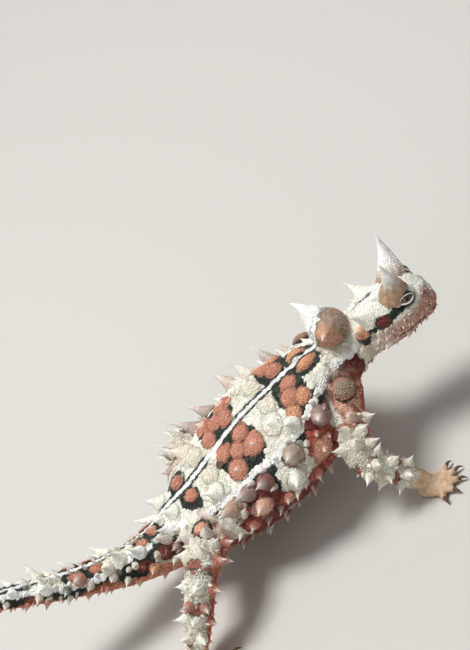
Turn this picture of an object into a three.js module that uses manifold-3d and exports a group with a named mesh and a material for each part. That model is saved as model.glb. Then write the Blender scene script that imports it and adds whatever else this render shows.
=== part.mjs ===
// A thorny devil, Moloch horridus, standing with its fore body raised and its tail lifted, life size.
// Millimetres, +X towards the snout, +Y to the animal's left, +Z up, soles at z = 0.
import * as THREE from "three";
import { mergeVertices } from "three/addons/utils/BufferGeometryUtils.js";
import Module from "manifold-3d";

const wasm = await Module();
wasm.setup();

// Driving dimensions
const gap = 0.3; // clear space between two nodes that meet
const originShift = new THREE.Vector3(17.01, 0.35, 0); // moves the box centre of the stance to the origin
const bodySides = 24;
const tailSides = 14;
const limbSides = 10;
const toeSides = 5;
const plainThorn = 1.3; // thorns of a smaller root radius are plain cones
const squareness = 0.9; // below 1 the sections of the body are a little boxy

// Stations of the body from tail tip to nape: x, y, height of the back line, half width, depth
const bodyStations = [
  [-93, -1.4, 46.4, 1.0, 2.0],
  [-86, -1.9, 43.1, 1.9, 3.8],
  [-77, -2.4, 38.4, 2.7, 5.2],
  [-67, -2.7, 33.2, 3.4, 6.4],
  [-57, -2.8, 28.3, 4.2, 7.8],
  [-48, -2.6, 24.4, 5.2, 9.2],
  [-40, -2.0, 22.1, 6.4, 10.8],
  [-33, -1.1, 21.6, 8.2, 13.0],
  [-26, -0.4, 23.4, 11.8, 16.4],
  [-18, 0, 26.6, 16.0, 20.0],
  [-8, 0, 30.2, 19.6, 23.0],
  [3, 0, 34.0, 20.2, 25.2],
  [13, 0, 36.0, 17.6, 24.6],
  [21, 0, 37.4, 13.6, 21.4],
  [27.5, 0, 37.8, 9.6, 17.0],
  [33.5, 0, 37.6, 7.6, 13.8],
  [40, 0, 37.8, 7.0, 12.4],
  [46, 0, 38.4, 6.8, 12.0],
];
// Where the body is parted, as a fraction of the way along the stations
const bodyParts = [
  ["tail_tip", 0, 2.6, tailSides, 5],
  ["tail_middle", 2.6, 4.9, tailSides, 6],
  ["tail_base", 4.9, 7.2, tailSides, 6],
  ["torso", 7.2, 13.75, bodySides, 16],
  ["neck", 13.75, 17, 18, 9],
];
// Stations of the head from nape to snout: x, y, height of the crown, half width, depth
const headStations = [
  [32.0, 0, 37.4, 6.0, 11.4],
  [36.0, 0, 37.9, 6.4, 12.0],
  [38.6, 0, 38.6, 7.4, 12.8],
  [43.0, 0, 39.8, 8.7, 14.2],
  [48.0, 0, 41.0, 8.9, 14.8],
  [52.5, 0, 41.0, 8.3, 14.2],
  [55.8, 0, 39.0, 6.9, 11.8],
  [58.2, 0, 36.6, 5.4, 8.8],
  [59.6, 0, 34.6, 3.5, 5.4],
  [60.4, 0, 32.4, 0.8, 1.2],
];
const headSides = 20;
const headRings = 14;
// The head is shaped straight ahead, then turned about the nape, in degrees: left, up, over to the right
const headTurn = { pivot: [37.4, 0, 31.6], yaw: -18, pitch: 3, roll: -10 };
const eye = { x: 54.6, y: 6.1, z: 37.9, radius: 1.9, lidRadius: 2.45, lidThickness: 0.62 };
const ear = { x: 42.4, y: 8.7, z: 33.2, radius: 1.5 };
const nostril = { x: 58.6, y: 3.5, z: 35.4, radius: 0.55 };
const mouth = { hingeX: 48.6, z: 29.9, tilt: 0.035 };
const horn = { root: [52.4, 4.4, 38.7], reach: [1.7, 3.7, 12.0], bend: [1.0, 0.8, 0.4], radius: 4.8 };
const knob = { centre: [32.4, 0, 39.4], half: [5.4, 6.0, 4.6] };
const knobSpine = { root: [31.8, 2.0, 40.2], reach: [-3.4, 8.4, 5.0], bend: [0.6, 0.5, 0.8], radius: 4.6 };
const spineTaper = 1.35; // above 1 a horn flares at its root

// Limbs of each side: joint centres, then the radius at root, middle, joint, middle, end
const limbs = {
  right_fore: {
    names: ["upper_arm_right", "forearm_right", "hand_right"],
    points: [[25.5, -8, 27.5], [19.0, -23.5, 18.6], [27.2, -27.4, 5.0]],
    radii: [6.2, 4.5, 4.0, 3.8, 2.9],
    toes: { heading: -32, spread: 30, length: 6.4, palm: [5.2, 3.9, 1.7], reach: 5.2 },
  },
  left_fore: {
    names: ["upper_arm_left", "forearm_left", "hand_left"],
    points: [[25.5, 8, 27.5], [17.0, 23.0, 17.2], [25.0, 28.0, 5.0]],
    radii: [6.2, 4.5, 4.0, 3.8, 2.9],
    toes: { heading: 26, spread: 30, length: 6.4, palm: [5.2, 3.9, 1.7], reach: 5.2 },
  },
  right_hind: {
    names: ["thigh_right", "shin_right", "foot_right"],
    points: [[-21, -7, 16.5], [-30.5, -23.5, 19.4], [-43.5, -30.2, 5.2]],
    radii: [7.2, 5.4, 4.3, 3.9, 3.0],
    toes: { heading: -62, spread: 30, length: 6.8, palm: [5.8, 3.9, 1.7], reach: 5.6 },
  },
  left_hind: {
    names: ["thigh_left", "shin_left", "foot_left"],
    points: [[-21, 7, 16.5], [-13.5, 25.5, 16.6], [-22.5, 31.0, 5.2]],
    radii: [7.2, 5.4, 4.3, 3.9, 3.0],
    toes: { heading: 38, spread: 30, length: 6.8, palm: [5.8, 3.9, 1.7], reach: 5.6 },
  },
};

// Sections of a toe and its claw: share of the length, radius, lift
const toeSections = [[0, 1.25, 0], [0.45, 1.15, 0.1], [0.72, 0.8, -0.1], [0.8, 0.45, 0.05], [1, 0.1, -0.75]];

// Rows of thorns on each part: degrees from the back line, length, root radius, spacing along the body
const thornRows = {
  torso: [
    [24, 2.2, 1.25, 6.8],
    [44, 4.6, 2.2, 7.4],
    [64, 6.6, 2.5, 7.2],
    [84, 4.2, 2.6, 7.0],
    [103, 2.8, 2.1, 7.0],
    [124, 2.2, 1.25, 7.4],
  ],
  neck: [
    [60, 3.2, 1.5, 5.4],
    [98, 3.2, 1.5, 5.4],
  ],
  tail_base: [
    [34, 4.4, 2.0, 5.8],
    [76, 4.4, 2.0, 5.8],
    [115, 2.6, 1.25, 5.8],
    [155, 1.8, 1.0, 5.8],
  ],
  tail_middle: [
    [36, 4.2, 1.7, 5.6],
    [84, 4.4, 1.7, 5.6],
    [132, 2.2, 1.0, 5.6],
  ],
  tail_tip: [
    [38, 2.8, 1.1, 5.2],
    [98, 2.8, 1.1, 5.2],
  ],
};
// Single thorns of one side of the head: place, direction, length, root radius
const headThorns = [
  { at: [43.3, 6.0, 38.0], to: [-0.5, 0.6, 0.85], length: 6.2, radius: 2.3 }, // behind the horn
  { at: [40.6, 6.9, 36.2], to: [-0.75, 0.75, 0.45], length: 4.8, radius: 2.0 }, // temple
  { at: [46.6, 8.2, 33.8], to: [-0.2, 1, 0.1], length: 2.2, radius: 1.1 }, // cheek
  { at: [44.6, 7.6, 29.4], to: [-0.4, 1, -0.25], length: 3.0, radius: 1.3 }, // angle of the jaw
  { at: [58.0, 2.6, 36.6], to: [0.5, 0.35, 1], length: 2.0, radius: 1.2 }, // snout
  { at: [56.8, 0.9, 38.6], to: [0.3, 0.1, 1], length: 1.6, radius: 0.9 }, // brow
];
const crownThorns = [
  { at: [47.6, 0, 40.8], to: [-0.3, 0, 1], length: 1.5, radius: 1.1 },
  { at: [42.2, 0, 39.4], to: [-0.4, 0, 1], length: 1.5, radius: 1.1 },
];
const limbThorns = { length: 2.9, radius: 1.25, spacing: 4.4, perRing: 6 };
const neckThornEnd = 15.4; // station past which the neck carries no thorns
const lean = 0.42; // how far thorns tip towards the tail
const seed = 7;

// Seeded random numbers from 0 to 1
let randomState = seed;
function random() {
  randomState = (randomState * 1664525 + 1013904223) % 4294967296;
  return randomState / 4294967296;
}
const vary = (amount) => 1 + amount * (2 * random() - 1);
const vec = (p) => new THREE.Vector3(...p);
const mirrored = (p, side) => [p[0], p[1] * side, p[2]];

// Uniform Catmull-Rom value of each column of a table at t
function sample(table, t) {
  const last = table.length - 1;
  const i = Math.min(Math.max(Math.floor(t), 0), last - 1);
  const s = t - i;
  const row = (k) => table[Math.min(Math.max(k, 0), last)];
  const [a, b, c, d] = [row(i - 1), row(i), row(i + 1), row(i + 2)];
  return b.map((_, k) => 0.5 * (2 * b[k] + (c[k] - a[k]) * s
    + (2 * a[k] - 5 * b[k] + 4 * c[k] - d[k]) * s * s
    + (3 * b[k] - a[k] - 3 * c[k] + d[k]) * s * s * s));
}

// A boxy power of a sine or cosine, which keeps its sign
const boxy = (v) => Math.sign(v) * Math.abs(v) ** squareness;

// A surface of sections over back-line stations: the point at station t and angle phi from the back line
function bodySurface(stations, grow = 0) {
  const centre = (t) => {
    const [x, y, top, , depth] = sample(stations, t);
    return new THREE.Vector3(x, y, top - depth / 2);
  };
  return (t, phi) => {
    const [, , , half, depth] = sample(stations, t);
    const along = centre(t + 0.01).sub(centre(t - 0.01)).normalize();
    const left = new THREE.Vector3(0, 0, 1).cross(along).normalize();
    const up = along.clone().cross(left);
    return centre(t)
      .addScaledVector(left, (half + grow) * boxy(Math.sin(phi)))
      .addScaledVector(up, (depth / 2 + grow) * boxy(Math.cos(phi)));
  };
}

// The five-point line of a limb that bends at its joint, and the axis that it bends about
function limbLine(points, radii) {
  const [root, joint, end] = points.map(vec);
  const rows = [root, root.clone().lerp(joint, 0.5), joint, joint.clone().lerp(end, 0.5), end]
    .map((p, k) => [p.x, p.y, p.z, radii[k]]);
  const axis = joint.clone().sub(root).cross(end.clone().sub(joint)).normalize();
  return { rows, axis };
}

// A round limb: the point at t, 0 at the root, 2 at the joint and 4 at the end, and angle phi
function limbSurface({ rows, axis }) {
  const centre = (t) => vec(sample(rows, t).slice(0, 3));
  return (t, phi) => {
    const along = centre(t + 0.01).sub(centre(t - 0.01)).normalize();
    const out = along.clone().cross(axis).normalize();
    const r = sample(rows, t)[3];
    return centre(t)
      .addScaledVector(axis, r * Math.sin(phi))
      .addScaledVector(out, r * Math.cos(phi));
  };
}

// Outward normal of a surface, from two short steps on it
function normalAt(surface, t, phi) {
  const d = 0.02;
  const along = surface(t + d, phi).sub(surface(t - d, phi));
  const round = surface(t, phi + d).sub(surface(t, phi - d));
  const inside = surface(t, phi + Math.PI).sub(surface(t, phi));
  const n = along.cross(round).normalize();
  return n.dot(inside) > 0 ? n.negate() : n;
}

// Closed mesh of rings of points, with a fan at each end
function loft(rings) {
  const sides = rings[0].length;
  const points = rings.flat();
  const faces = [];
  rings.slice(1).forEach((_, r) => {
    for (let k = 0; k < sides; k++) {
      const [a, b] = [r * sides + k, r * sides + ((k + 1) % sides)];
      faces.push(a, b, b + sides, a, b + sides, a + sides);
    }
  });
  for (const [ring, flip] of [[0, true], [rings.length - 1, false]]) {
    const middle = rings[ring].reduce((s, p) => s.add(p), new THREE.Vector3()).divideScalar(sides);
    const centre = points.push(middle) - 1;
    for (let k = 0; k < sides; k++) {
      const [a, b] = [ring * sides + k, ring * sides + ((k + 1) % sides)];
      faces.push(...(flip ? [b, a, centre] : [a, b, centre]));
    }
  }
  const geometry = new THREE.BufferGeometry().setFromPoints(points);
  geometry.setIndex(faces);
  return geometry;
}

// A geometry as a solid with its faces outwards
function solid(geometry) {
  const g = geometry.clone();
  g.deleteAttribute("normal");
  g.deleteAttribute("uv");
  const merged = mergeVertices(g, 1e-4);
  const triVerts = new Uint32Array(merged.index.array);
  const vertProperties = merged.attributes.position.array;
  const build = () => new wasm.Manifold(new wasm.Mesh({ numProp: 3, vertProperties, triVerts }));
  let made = build();
  if (made.volume() < 0) {
    for (let i = 0; i < triVerts.length; i += 3) {
      [triVerts[i + 1], triVerts[i + 2]] = [triVerts[i + 2], triVerts[i + 1]];
    }
    made = build();
  }
  return made;
}

// The largest piece of a solid
const largest = (s) => s.decompose().reduce((a, b) => (b.volume() > a.volume() ? b : a));

// A solid of one surface from station t0 to t1
function surfaceSolid(surface, t0, t1, rings, sides) {
  const ring = (t) => Array.from({ length: sides }, (_, k) => surface(t, (2 * Math.PI * k) / sides));
  return solid(loft(Array.from({ length: rings + 1 }, (_, r) => ring(t0 + ((t1 - t0) * r) / rings))));
}

// A ball or egg of half sizes
function egg(centre, half, detail = [10, 7]) {
  const g = new THREE.SphereGeometry(1, ...detail);
  g.scale(...half);
  g.translate(...centre);
  return solid(g);
}

// A tapered, slightly bent thorn with a flared root, sunk below its place along the surface normal
function thorn(at, normal, tip, radius, sides = 5) {
  const along = tip.clone().sub(at);
  const across = new THREE.Vector3(0.31, 0.52, 0.79).cross(normal).normalize();
  const over = normal.clone().cross(across);
  const turn = random() * Math.PI;
  const ring = (share, r) => {
    const centre = at.clone().addScaledVector(along, share);
    return Array.from({ length: sides }, (_, k) => {
      const a = turn + (2 * Math.PI * k) / sides;
      return centre.clone().addScaledVector(across, r * Math.cos(a)).addScaledVector(over, r * Math.sin(a));
    });
  };
  const root = ring(0, radius * 1.02).map((p) => p.addScaledVector(normal, -radius * 0.75));
  const flared = radius >= plainThorn;
  const points = flared ? [...root, ...ring(0.34, radius * 0.46), tip] : [...root, tip];
  const faces = [];
  for (let k = 0; k < sides; k++) {
    const n = (k + 1) % sides;
    if (flared) faces.push(k, n, n + sides, k, n + sides, k + sides, k + sides, n + sides, 2 * sides);
    else faces.push(k, n, sides);
    if (k > 1) faces.push(0, k, k - 1);
  }
  const geometry = new THREE.BufferGeometry().setFromPoints(points);
  geometry.setIndex(faces);
  return solid(geometry);
}

// Centre lines of the limbs, with the radius at each place, to keep thorns clear of other nodes
const limbLines = Object.values(limbs).map((l) => limbLine(l.points, l.radii));
function clearOfLimbs(point, room) {
  return limbLines.every(({ rows }) => {
    for (let t = 0.4; t <= 4; t += 0.2) {
      const [x, y, z, r] = sample(rows, t);
      if (point.distanceTo(new THREE.Vector3(x, y, z)) < r + room) return false;
    }
    return true;
  });
}

// Rows of thorns on both sides of one part of the body
function thornsOnBody(rows, surface, stations, t0, t1) {
  const made = [];
  const placeOf = (t) => sample(stations, t)[0];
  rows.forEach(([angle, length, radius, spacing], row) => {
    const count = Math.max(1, Math.round((placeOf(t1) - placeOf(t0) - 2 * radius) / spacing));
    for (const side of [1, -1]) {
      for (let k = 0; k < count; k++) {
        const share = (k + (row % 2 ? 0.3 : 0.7)) / count + 0.04 * (random() - 0.5);
        const edge = (radius + gap) / (placeOf(t1) - placeOf(t0));
        const t = t0 + (t1 - t0) * Math.min(Math.max(share, edge), 1 - edge);
        const phi = side * THREE.MathUtils.degToRad(angle * vary(0.04));
        const at = surface(t, phi);
        const normal = normalAt(surface, t, phi);
        const back = new THREE.Vector3(-lean, 0, 0);
        const reach = length * vary(0.14);
        const tip = at.clone().addScaledVector(normal.clone().add(back).normalize(), reach);
        if (clearOfLimbs(at, radius + 0.5) && clearOfLimbs(tip, 0.9)) {
          made.push(thorn(at, normal, tip, radius * vary(0.1)));
        }
      }
    }
  });
  return made;
}

// Rings of thorns round a limb, on the faces that look up or out
function thornsOnLimb(surface, t0, t1, scale, side) {
  const made = [];
  const middle = surface((t0 + t1) / 2, 0);
  const span = surface(t0, 0).distanceTo(middle) + middle.distanceTo(surface(t1, 0));
  const rings = Math.max(2, Math.round(span / limbThorns.spacing));
  for (let r = 0; r < rings; r++) {
    const edge = ((limbThorns.radius * scale + gap) / span) * (t1 - t0);
    const t = t0 + edge + ((t1 - t0 - 2 * edge) * (r + 0.5)) / rings;
    for (let k = 0; k < limbThorns.perRing; k++) {
      const phi = (2 * Math.PI * (k + (r % 2) / 2)) / limbThorns.perRing;
      const at = surface(t, phi);
      const normal = normalAt(surface, t, phi);
      const outward = normal.y * side * 0.8 + normal.z * 0.55 - normal.x * 0.2;
      if (outward < 0.05 || at.z < 4.2) continue;
      const length = limbThorns.length * scale * (0.7 + 0.5 * outward) * vary(0.12);
      const tip = at.clone().addScaledVector(normal, length);
      if (!clearOfBody(at, 1.9) || !clearOfBody(tip, 1.6)) continue;
      made.push(thorn(at, normal, tip, limbThorns.radius * scale));
    }
  }
  return made;
}

// True where a point is farther than some room from the skin of the trunk
function clearOfBody(point, room) {
  for (let t = 6; t <= 15.6; t += 0.2) {
    const [x, y, top, half, depth] = sample(bodyStations, t);
    const dx = (point.x - x) / (5 + room);
    const dy = (point.y - y) / (half + room);
    const dz = (point.z - (top - depth / 2)) / (depth / 2 + room);
    if (Math.abs(dx) < 0.5 && dy * dy + dz * dz < 1) return false;
  }
  return true;
}

const join = (solids) => largest(wasm.Manifold.union(solids));
const part = new THREE.Group();
const solids = {};

// The turn of the head as a matrix, and the plane between head and neck, which halves that turn
const turnOf = (share) => {
  const [yaw, pitch, roll] = [headTurn.yaw, -headTurn.pitch, headTurn.roll].map(THREE.MathUtils.degToRad);
  const turned = new THREE.Quaternion().setFromEuler(new THREE.Euler(roll, pitch, yaw, "ZYX"));
  return new THREE.Quaternion().slerp(turned, share);
};
const headPivot = vec(headTurn.pivot);
const headMatrix = new THREE.Matrix4().makeRotationFromQuaternion(turnOf(1))
  .setPosition(headPivot.clone().sub(headPivot.clone().applyQuaternion(turnOf(1))));
const napePlane = new THREE.Vector3(1, 0, 0).applyQuaternion(turnOf(0.5));
const napeAt = napePlane.dot(headPivot);
const turned = (s) => s.transform(headMatrix.toArray());

// The body: tail, torso and neck
const skin = bodySurface(bodyStations);
const behindNape = (s, room) => s.trimByPlane(napePlane.clone().negate().toArray(), room - napeAt);
const bodyGrown = behindNape(surfaceSolid(bodySurface(bodyStations, gap), 5, 17, 44, bodySides), gap / 2);
for (const [name, t0, t1, sides, rings] of bodyParts) {
  const step = 0.01;
  const speed = skin(t0 + step, 0).distanceTo(skin(t0, 0)) / step;
  const speedEnd = skin(t1 - step, 0).distanceTo(skin(t1, 0)) / step;
  const from = t0 === 0 ? 0 : t0 + gap / 2 / speed;
  const to = t1 - gap / 2 / speedEnd;
  const tube = surfaceSolid(skin, from, to, rings, sides);
  solids[name] = [
    name === "neck" ? behindNape(tube, gap / 2) : tube,
    ...thornsOnBody(thornRows[name], skin, bodyStations, from, Math.min(to, neckThornEnd)),
  ];
}

// The head, with its jaw, lids, ears and nostrils
const headSkin = bodySurface(headStations);
const headEnd = headStations.length - 1;
const headSolid = surfaceSolid(headSkin, 0, headEnd, headRings, headSides);
const headGrown = surfaceSolid(bodySurface(headStations, gap), 0, headEnd, headRings, headSides);
// Everything in front of the jaw's hinge and below the mouth, as a box with some play
function jawBox(play) {
  const [length, width, depth] = [30, 30, 14];
  const box = new THREE.BoxGeometry(length + play, width, depth + play);
  box.translate(length / 2 - play / 2, 0, -depth / 2 + play / 2);
  box.rotateY(-mouth.tilt);
  box.translate(mouth.hingeX, 0, mouth.z);
  return solid(box);
}
function headThornSolid({ at, to, length, radius }, side) {
  const place = vec(mirrored(at, side));
  const out = vec(mirrored(to, side)).normalize();
  const root = place.clone().addScaledVector(out, -0.3);
  const tip = place.clone().addScaledVector(out, length);
  return thorn(root, out, tip, radius, 6);
}
const sides = [1, -1];
const lids = sides.map((side) => {
  const ring = new THREE.TorusGeometry(eye.lidRadius, eye.lidThickness, 5, 12);
  ring.rotateX(Math.PI / 2);
  ring.rotateX(-0.3);
  ring.rotateZ(0.2);
  ring.scale(1, side, 1);
  ring.translate(eye.x, side * (eye.y + 0.35), eye.z);
  return solid(ring);
});
const cuts = sides.flatMap((side) => [
  egg([eye.x, side * eye.y, eye.z], [eye.radius + gap, eye.radius + gap, eye.radius + gap]),
  egg([ear.x, side * ear.y, ear.z], [ear.radius, 0.9, ear.radius * 1.2], [8, 6]),
  egg([nostril.x, side * nostril.y, nostril.z], [nostril.radius, nostril.radius, nostril.radius], [6, 4]),
]);
const headThornSolids = [
  ...headThorns.flatMap((t) => sides.map((side) => headThornSolid(t, side))),
  ...crownThorns.map((t) => headThornSolid(t, 1)),
];
const headHollows = wasm.Manifold.union([...cuts, jawBox(gap)]);
const head = largest(join([headSolid, ...lids, ...headThornSolids]).subtract(headHollows));
solids.head = [largest(turned(head).trimByPlane(napePlane.toArray(), napeAt + gap / 2))];
solids.lower_jaw = [turned(largest(headSolid.intersect(jawBox(0))))];

// A horn of one side that bends and tapers from a flared root
function hornSolid({ root, reach, bend, radius }, side, rings = 6, hornSides = 9) {
  const [from, way, bow] = [root, reach, bend].map((p) => vec(mirrored(p, side)));
  const middle = from.clone().addScaledVector(way, 0.5).add(bow);
  const line = new THREE.QuadraticBezierCurve3(from, middle, from.clone().add(way));
  return solid(loft(Array.from({ length: rings + 1 }, (_, k) => {
    const share = k / rings;
    const centre = line.getPoint(share);
    const along = line.getTangent(share);
    const across = new THREE.Vector3(1, 0, 0).cross(along).normalize();
    const over = along.clone().cross(across);
    const r = radius * (1 - share) ** spineTaper + 0.12;
    return Array.from({ length: hornSides }, (_, j) => {
      const a = (2 * Math.PI * j) / hornSides;
      return centre.clone()
        .addScaledVector(across, r * 0.9 * Math.cos(a))
        .addScaledVector(over, r * Math.sin(a));
    });
  })));
}

// Eyes, horns and the knob on the nape
for (const [label, side] of [["left", 1], ["right", -1]]) {
  solids["eye_" + label] = [turned(egg([eye.x, side * eye.y, eye.z], [eye.radius, eye.radius, eye.radius]))];
  const eyeRoom = egg([eye.x, side * (eye.y + 0.35), eye.z], [3.7, 2.3, 3.7]);
  solids["horn_" + label] = [turned(largest(hornSolid(horn, side).subtract(headGrown).subtract(eyeRoom)))];
}
const knobSpines = sides.map((side) => hornSolid(knobSpine, side));
const knobWhole = join([egg(knob.centre, knob.half, [16, 12]), ...knobSpines]);
const headBack = turned(surfaceSolid(bodySurface(headStations, gap), 0, 4, 10, headSides));
solids.nape_knob = [largest(knobWhole.subtract(bodyGrown).subtract(headBack))];

// Limbs, with their hands and feet
const upward = new THREE.Vector3(0, 0, 1);
for (const [key, limb] of Object.entries(limbs)) {
  const side = key.startsWith("left") ? 1 : -1;
  const line = limbLine(limb.points, limb.radii);
  const surface = limbSurface(line);
  const [upper, lower, extremity] = limb.names;
  const joint = vec(limb.points[1]);
  const justBefore = surface(1.99, 0).add(surface(1.99, Math.PI));
  const justAfter = surface(2.01, 0).add(surface(2.01, Math.PI));
  const bendPlane = justAfter.sub(justBefore).normalize();
  const bendAt = bendPlane.dot(joint);
  const beforeJoint = (s) => s.trimByPlane(bendPlane.clone().negate().toArray(), gap / 2 - bendAt);
  const afterJoint = (s) => s.trimByPlane(bendPlane.toArray(), bendAt + gap / 2);
  const upperTube = largest(surfaceSolid(surface, 0, 2, 6, limbSides).subtract(bodyGrown));
  const lowerTube = surfaceSolid(surface, 2, 4 - 0.02, 5, limbSides);
  solids[upper] = [largest(beforeJoint(join([upperTube, ...thornsOnLimb(surface, 0.8, 1.95, 1.15, side)])))];
  solids[lower] = [largest(afterJoint(join([lowerTube, ...thornsOnLimb(surface, 2.05, 3.75, 1, side)])))];
  // The hand or foot: a flattened palm with five short clawed toes, cut flat at the sole
  const { heading, spread, length, palm, reach } = limb.toes;
  const wrist = vec(limb.points[2]);
  const facing = THREE.MathUtils.degToRad(heading);
  const forward = new THREE.Vector3(Math.cos(facing), Math.sin(facing), 0);
  const palmCentre = wrist.clone().addScaledVector(forward, reach * 0.62);
  palmCentre.z = palm[2] * 0.86;
  const palmShape = new THREE.SphereGeometry(1, 12, 7);
  palmShape.scale(...palm);
  palmShape.rotateZ(facing);
  palmShape.translate(...palmCentre);
  const pieces = [solid(palmShape)];
  const endRadius = limb.radii[4];
  const ankle = wrist.clone().sub(vec(limb.points[1])).normalize();
  const ankleTube = [0, 0.5, 1].map((share) => {
    const centre = wrist.clone().addScaledVector(ankle, gap * 0.6).lerp(palmCentre, share * 0.8);
    const along = ankle.clone().lerp(forward, share * 0.7).normalize();
    const across = along.clone().cross(line.axis).normalize();
    const r = endRadius * (1 - 0.3 * share);
    return Array.from({ length: limbSides }, (_, k) => {
      const a = (2 * Math.PI * k) / limbSides;
      return centre.clone()
        .addScaledVector(line.axis, r * Math.sin(a))
        .addScaledVector(across, r * Math.cos(a));
    });
  });
  pieces.push(solid(loft(ankleTube)));
  for (let toe = -2; toe <= 2; toe++) {
    const angle = facing + THREE.MathUtils.degToRad(toe * spread);
    const way = new THREE.Vector3(Math.cos(angle), Math.sin(angle), 0);
    const toeLength = length * (1 - 0.08 * Math.abs(toe));
    const start = palmCentre.clone().addScaledVector(way, palm[1] * 0.55).setZ(1.3);
    const across = upward.clone().cross(way);
    const rings = toeSections.map(([share, r, lift]) => {
      const centre = start.clone().addScaledVector(way, share * toeLength).addScaledVector(upward, lift);
      return Array.from({ length: toeSides }, (_, k) => {
        const a = (2 * Math.PI * (k + 0.25)) / toeSides;
        return centre.clone()
          .addScaledVector(across, r * Math.cos(a))
          .addScaledVector(upward, r * Math.sin(a));
      });
    });
    pieces.push(solid(loft(rings)));
  }
  const sole = join(pieces).trimByPlane([0, 0, 1], 0);
  const cutLength = 0.15;
  const plane = ankle.clone();
  solids[extremity] = [sole.trimByPlane(plane.toArray(), plane.dot(wrist) + cutLength)];
}

// Meshes, coloured as the animal is
const colours = {
  head: 0xd9d2c0, lower_jaw: 0xb4857a, neck: 0xcfc9b4, nape_knob: 0x9a6a4c, torso: 0xb9a58c,
  tail: 0xc9c4b4, horn: 0xe9e6dc, eye: 0x14110f, arm: 0xd2cdbb, hand: 0xc49a6c,
};
const toneOf = (name) => colours[Object.keys(colours).find((k) => name.startsWith(k)) ??
  (/hand|foot/.test(name) ? "hand" : "arm")];
for (const [name, pieces] of Object.entries(solids)) {
  const joined = pieces.length > 1 ? join(pieces) : pieces[0];
  const mesh = joined.getMesh();
  const geometry = new THREE.BufferGeometry();
  geometry.setAttribute("position", new THREE.BufferAttribute(mesh.vertProperties, 3));
  geometry.setIndex(new THREE.BufferAttribute(mesh.triVerts, 1));
  geometry.computeVertexNormals();
  const roughness = name.startsWith("eye") ? 0.15 : 0.75;
  const material = new THREE.MeshStandardMaterial({ color: toneOf(name), roughness, metalness: 0 });
  const node = new THREE.Mesh(geometry, material);
  node.name = name;
  node.position.copy(originShift);
  part.add(node);
}

export default part;
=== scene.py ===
# A thorny devil as a life-size museum model: skin, scales, thorns, horns, eyes and claws over the frame
import bpy
import numpy as np
from mathutils import Matrix, Vector


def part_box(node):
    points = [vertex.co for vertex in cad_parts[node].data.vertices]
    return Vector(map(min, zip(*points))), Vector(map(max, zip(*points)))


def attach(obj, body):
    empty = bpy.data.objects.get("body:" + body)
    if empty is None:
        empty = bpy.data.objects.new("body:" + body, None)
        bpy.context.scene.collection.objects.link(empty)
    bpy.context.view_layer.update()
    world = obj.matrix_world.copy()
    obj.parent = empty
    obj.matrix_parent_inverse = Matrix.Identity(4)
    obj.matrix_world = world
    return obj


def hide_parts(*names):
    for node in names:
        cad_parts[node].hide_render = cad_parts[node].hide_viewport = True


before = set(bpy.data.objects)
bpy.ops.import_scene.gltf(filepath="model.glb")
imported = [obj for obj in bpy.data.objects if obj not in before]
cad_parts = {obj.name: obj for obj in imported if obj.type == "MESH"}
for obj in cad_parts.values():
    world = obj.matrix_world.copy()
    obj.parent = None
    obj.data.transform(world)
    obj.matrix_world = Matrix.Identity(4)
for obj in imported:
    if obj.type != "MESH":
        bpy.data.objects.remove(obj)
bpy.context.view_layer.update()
print("frame loaded with", len(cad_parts), "nodes")

mm = 0.001  # shapes are worked out in millimetres in the animal's own frame
rng = np.random.default_rng(11)
sideOf = {"left": 1, "right": -1}

# The trunk from tail tip to nape: x, y, height of the back line, half width, depth
trunk = {
    "rows": [
        [-93, -1.4, 46.4, 1.0, 2.0], [-86, -1.9, 43.1, 1.9, 3.8], [-77, -2.4, 38.4, 2.7, 5.2],
        [-67, -2.7, 33.2, 3.4, 6.4], [-57, -2.8, 28.3, 4.2, 7.8], [-48, -2.6, 24.4, 5.2, 9.2],
        [-40, -2.0, 22.1, 6.4, 10.8], [-33, -1.1, 21.6, 8.2, 13.0], [-26, -0.4, 23.4, 11.8, 16.4],
        [-18, 0, 26.6, 16.0, 20.0], [-8, 0, 30.2, 19.6, 23.0], [3, 0, 34.0, 20.2, 25.2],
        [13, 0, 36.0, 17.6, 24.6], [21, 0, 37.4, 13.6, 21.4], [27.5, 0, 37.8, 9.6, 17.0],
        [33.5, 0, 37.6, 7.6, 13.8], [40, 0, 37.8, 7.0, 12.4], [46, 0, 38.4, 6.8, 12.0],
    ],
    "end": 16.0,
    "boxiness": 0.9,
}
# The head from nape to snout, shaped straight ahead and then turned about the nape
head = {
    "rows": [
        [32.0, 0, 37.4, 6.0, 11.4], [36.0, 0, 37.9, 6.4, 12.0], [38.6, 0, 38.6, 7.4, 12.8],
        [43.0, 0, 39.8, 8.7, 14.2], [48.0, 0, 41.0, 8.9, 14.8], [52.5, 0, 41.0, 8.3, 14.2],
        [55.8, 0, 39.0, 6.9, 11.8], [58.2, 0, 36.6, 5.4, 8.8], [59.6, 0, 34.6, 3.5, 5.4],
        [60.4, 0, 32.4, 0.8, 1.2],
    ],
    "pivot": [37.4, 0, 31.6],
    "yaw": -18, "pitch": 3, "roll": -10,
    "eye": [54.6, 6.1, 37.9],
    "eyeRadius": 1.9,
    "ear": [42.4, 8.7, 33.2],
    "nostril": [58.6, 3.5, 35.4],
    "mouthHinge": 48.6, "mouthHeight": 29.9, "mouthTilt": 0.035,
}
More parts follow.
